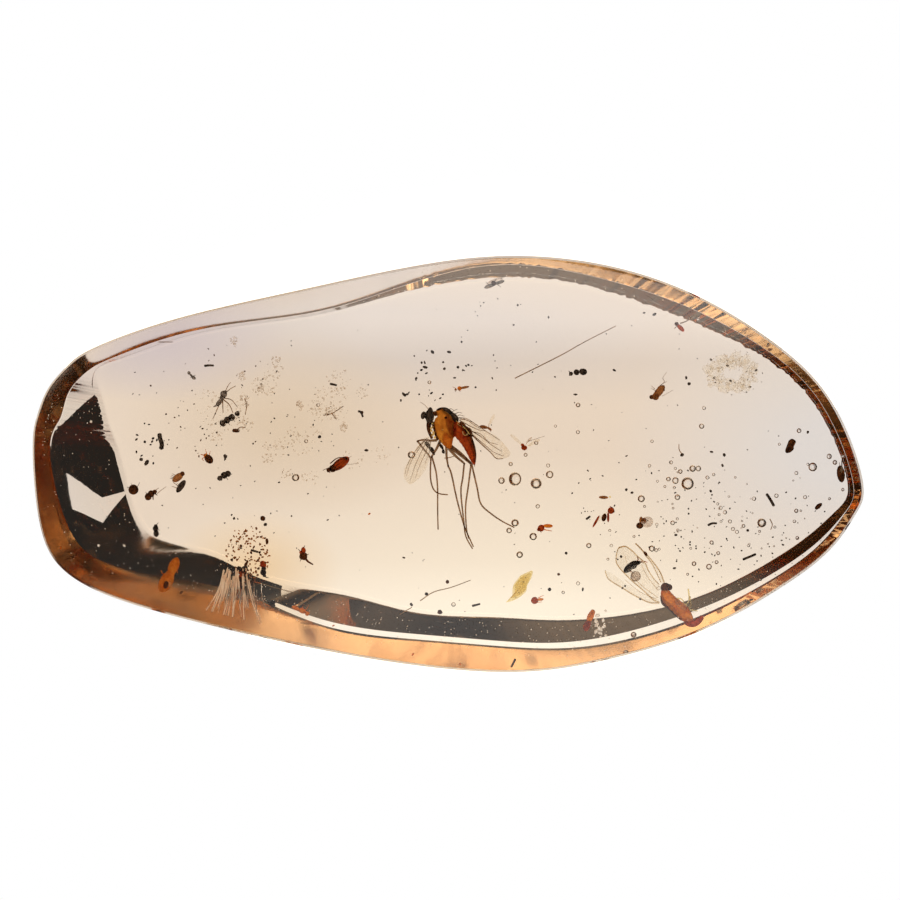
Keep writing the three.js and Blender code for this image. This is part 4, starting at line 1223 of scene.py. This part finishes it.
# The larger single grains, the black ones first: x, y and radius.
BLACK_GRAINS = 42
GRAINS = [
    (-14.8, 0.5, 0.15), (-20.0, 0.1, 0.18), (-20.4, 0.3, 0.13), (-8.5, 1.8, 0.12), (-2.9, 4.6, 0.13),
    (-2.7, 4.6, 0.10), (-5.4, 0.9, 0.12), (-2.9, -6.2, 0.08), (0.1, 7.4, 0.12), (-1.0, 7.4, 0.13),
    (-0.2, 6.3, 0.10), (0.7, 6.4, 0.10), (-1.5, 6.4, 0.13), (-1.4, 6.0, 0.08), (-2.1, 5.6, 0.08),
    (-0.3, 4.6, 0.07), (-3.1, 4.2, 0.08), (13.8, 9.9, 0.12), (13.1, 10.0, 0.08), (11.1, 6.2, 0.10),
    (8.5, 4.6, 0.10), (15.9, 5.7, 0.10), (16.1, 5.3, 0.12), (17.6, 0.8, 0.10), (18.4, 0.6, 0.12),
    (18.3, -0.1, 0.10), (17.5, -1.8, 0.10), (20.0, -4.4, 0.10), (15.2, -4.7, 0.10), (12.3, -1.9, 0.10),
    (11.9, -1.7, 0.10), (15.1, -6.9, 0.10), (9.0, -8.3, 0.10), (7.9, -5.9, 0.10), (24.0, 2.1, 0.10),
    (-17.7, -8.5, 0.10), (-2.4, -9.3, 0.12), (-1.4, -8.6, 0.12), (6.8, -8.3, 0.13), (15.6, 0.6, 0.13),
    (-12.1, -4.0, 0.12), (-14.2, -3.6, 0.10), (-5.7, 3.4, 0.12), (-0.0, -7.8, 0.13), (-0.5, -9.8, 0.17),
    (7.4, -7.3, 0.10), (-14.1, 2.2, 0.20), (24.7, -2.8, 0.22), (-12.0, -5.1, 0.15), (-12.3, -3.6, 0.18),
]

# Ovals strewn with crumbs: x, y, half-width, half-height, how many, least and most radius.
# These rows are brown, and the others black.
BROWN_CRUMBS = (3, 7)
CRUMBS = [
    (0, 0, 25, 11, 130, 0.02, 0.05), (19.5, -4.7, 6.5, 3.6, 110, 0.03, 0.07),
    (-20.0, 1.2, 0.8, 1.6, 12, 0.06, 0.1), (-13.4, -6.6, 1.2, 1.3, 28, 0.05, 0.1),
    (-1.3, 5.8, 2, 1.7, 14, 0.05, 0.09), (3.5, 7.6, 4.5, 3.5, 24, 0.03, 0.08),
    (13, -3, 5, 4, 40, 0.03, 0.07), (-15, 4, 5, 4, 40, 0.03, 0.07), (-13.5, -1, 6.5, 7, 60, 0.03, 0.07),
]


def bubbles():
    """Gas bubbles: flattened, slightly tilted hollows."""
    dice = random.Random(11)
    small = [(dice.uniform(13, 24), dice.uniform(-6, 0), dice.uniform(0.1, 0.22)) for _ in range(45)]
    hollows = []
    for x, y, size in BUBBLES + small:
        place = (x, y, dice.uniform(5.5, 8.5))
        points, faces = ball((0, 0, 0), size / 2, 20, 14, stretch=(1, 1, dice.uniform(0.6, 1.0)))
        tilt = dice.uniform(-0.6, 0.6)
        c, s = math.cos(tilt), math.sin(tilt)
        hollows.append((points @ np.array([[c, 0, s], [0, 1, 0], [-s, 0, c]]) + place, faces))
    return hollows


def loose_grains():
    """Grains, crumbs and short rods: dark, brown, orange and pale."""
    c = Small((0, 0, 7), 3)
    for k, (x, y, size) in enumerate(GRAINS):
        c.grain(x, y, size, 0 if k < BLACK_GRAINS else 1, c.dice.uniform(-1, 1.5))
    for k, row in enumerate(CRUMBS):
        c.scatter(*row, slot=1 if k in BROWN_CRUMBS else 0)
    for x, y, size in ((-2.3, -12.6, 0.08), (0.85, -13.25, 0.07), (-7.6, -10.7, 0.07), (-25.8, -5.6, 0.08),
                       (-5.2, -3.3, 0.08)):
        c.grain(x, y, size, 2)
    c.legs(0.08, (1.66, -9.39, 2.17, -9.26), (-13.07, -5.7, -12.6, -5.83), (-14.8, 0.61, -14.8, 0.28),
           (9.25, -3.65, 9.5, -3.46), (-16.17, 6.49, -15.87, 6.52, -15.57, 6.51),
           (-5.93, 3.49, -5.75, 3.41, -5.63, 3.11), (-7.8, 5.3, -7.37, 5.2),
           (17.35, -4.05, 17.63, -3.93, 17.93, -3.93), (4.52, -12.93, 4.25, -13.44), drop=0, taper=0.8)
    c.build("loose_grains", [BLACK, DARK, ORANGE], slot="black_insect")


def white_dust():
    """Dust that shows pale against the dark rims, a cluster of white flecks at the lower rim that is a
    painted sparkle, and three dots.
    """
    c = Small((0, 0, 7), 5)
    o = Outline(STEPS_ROUND)
    # along the outline, from one turn of it to another
    for first, last, count in ((0.43, 0.6, 110), (0.62, 0.9, 420), (0.08, 0.25, 60)):
        for _ in range(count):
            k = int(c.dice.uniform(first, last) * STEPS_ROUND)
            inset = max(0.7, o.fold[k] + c.dice.uniform(-0.3, 0.9) * (o.back[k] - o.fold[k]))
            x, y = o.edge[k] * (1 - inset / o.reach[k])
            c.grain(x, y, c.dice.uniform(0.012, 0.04), 0, c.dice.uniform(-3, 2))
    # painted sparkle: a cluster of white flecks at the lower rim
    for _ in range(26):
        x, y, size = c.dice.gauss(10.15, 0.22), c.dice.gauss(-10.8, 0.4), c.dice.uniform(0.05, 0.16)
        c.grain(x, y, size, 0, c.dice.uniform(0, 1), 0.5)
    for x, y in ((-23.7, 2.8), (-21.5, -5.4), (-23.2, -5.4)):
        c.grain(x, y, 0.09, 0, 1)
    c.build("white_dust", [DUST_AND_PAINTED_SPARKLE], slot="pale_debris")


def near_edge(x):
    """How far out the crack may reach: a straight line just inside the lower rim."""
    return -10.5 - 0.26 * (x + 13.6)


def fibres():
    """Long thin hairs and threads, two beaded black threads, and pale streaks along the crack's lines that
    paint the light it reflects.
    """
    c = Small((0, 0, 7), 9)
    c.legs(0.035, (4.5, 5.67, 7.5, 7.16, 9.07, 8.04, 11.21, 9.13),
           (-1.81, -9.05, -0.92, -8.47, 0.23, -8.17, 1.53, -7.69), (-3.17, -9.93, -2.37, -9.49),
           (21.47, -3.65, 21.63, -4.0, 21.53, -4.36), (15.63, 0.64, 15.43, 0.93, 15.41, 1.3),
           (-14.1, 2.2, -13.77, 2.43, -13.44, 2.4), (-8.25, 3.21, -7.65, 3.36, -6.93, 3.82),
           (-7.7, 3.33, -7.39, 2.95), (-13.5, 4.33, -13.37, 3.8, -13.47, 3.27), (-19.23, 8.07, -18.3, 8.07),
           (-0.19, 0.38, 0.13, 0.42, 0.46, 0.52), drop=0.1, taper=0.7)
    c.body((-1.47, 1.44, 0.09), (-1.3, 1.25, 0.15), (-1.2, 1.11, 0.1), (-1.05, 0.95, 0.14),
           (-0.94, 0.75, 0.1), (-0.85, 0.6, 0.03), slot=1)
    c.body((-0.56, 1.39, 0.05), (-0.4, 1.15, 0.11), (-0.3, 0.98, 0.06), (-0.27, 0.8, 0.11),
           (-0.2, 0.7, 0.03), slot=1)
    # pale streaks along the crack: painted reflection of the light the crack gives back
    for _ in range(CRACK_STREAKS):
        x, y, long = c.dice.uniform(-14.9, -13.2), c.dice.uniform(-7.8, -6.8), c.dice.uniform(1.0, 3.4)
        lean = (0.9 * (x + 13.9) + c.dice.uniform(-0.3, 0.3)) * long / 3
        end = max(y - long, near_edge(x + lean) + 0.2)
        c.leg(c.dice.uniform(0.03, 0.08), x, y, x + 0.4 * lean, (y + end) / 2, x + lean, end, slot=2, z=1.6)
    c.build("fibres", [HAIR, BLACK, PAINTED_CRACK_GLEAM], slot="pale_debris")


def clouds():
    """Faint smudges, each of many fine crumbs."""
    c = Small((0, 0, 7), 13)
    for x, y, size in ((-14.2, 8.1, 0.25), (-13.5, 4.3, 0.3), (-11.4, 6.8, 0.3), (-13.7, 5.8, 0.25),
                       (-12.4, 5.0, 0.2), (-6.9, 2.5, 0.25), (-9.8, 3.9, 0.25), (-7.8, 3.4, 0.4)):
        c.scatter(x, y, size, size * 1.5, 26, 0.03, 0.08, 0, 0.4)
    for _ in range(30):
        x, y, size = c.dice.gauss(-10, 2.8), c.dice.gauss(3.3, 1.8), c.dice.uniform(0.3, 1.0)
        c.scatter(x, y, size, size, 22, 0.02, 0.07, 0, 0.4)
    c.scatter(-13.3, -6.0, 1.5, 1.9, 160, 0.03, 0.09, 1, 0.5)
    c.build("faint_clouds", [MIST, BROWN], slot="pale_debris")


def crack():
    """The feathery crack at the lower rim: thin hollow blades that fan out to the edge."""
    dice = random.Random(17)
    blades = []
    for _ in range(CRACK_BLADES):
        x, y = dice.uniform(-14.5, -12.3), dice.uniform(-8.6, -7.4)
        lean, long = 0.25 * (x + 13.2) + dice.uniform(-0.35, 0.2), dice.uniform(0.8, 2.2)
        end = max(y - long, near_edge(x + lean))
        path = [(x, y, 8.6), (x + 0.3 * lean, (y + end) / 2, 8.7), (x + lean, end, 8.8)]
        radii = np.array([0.3, 1.0, 0.3]) * dice.uniform(0.02, 0.035)
        points, faces = tube(path, radii, 10, 5, dice.uniform(5, 14))
        points[:, 0] += (points[:, 2] - 8.7) * dice.choice((-1, 1)) * dice.uniform(0.1, 0.2)
        blades.append((points, faces))
    return blades


clear_stone(bubbles() + crack(), copal_material())
loose_grains()
white_dust()
fibres()
clouds()
mosquito()
winged_insect()
small_inclusions()
floor()
world()
camera()
render_look()
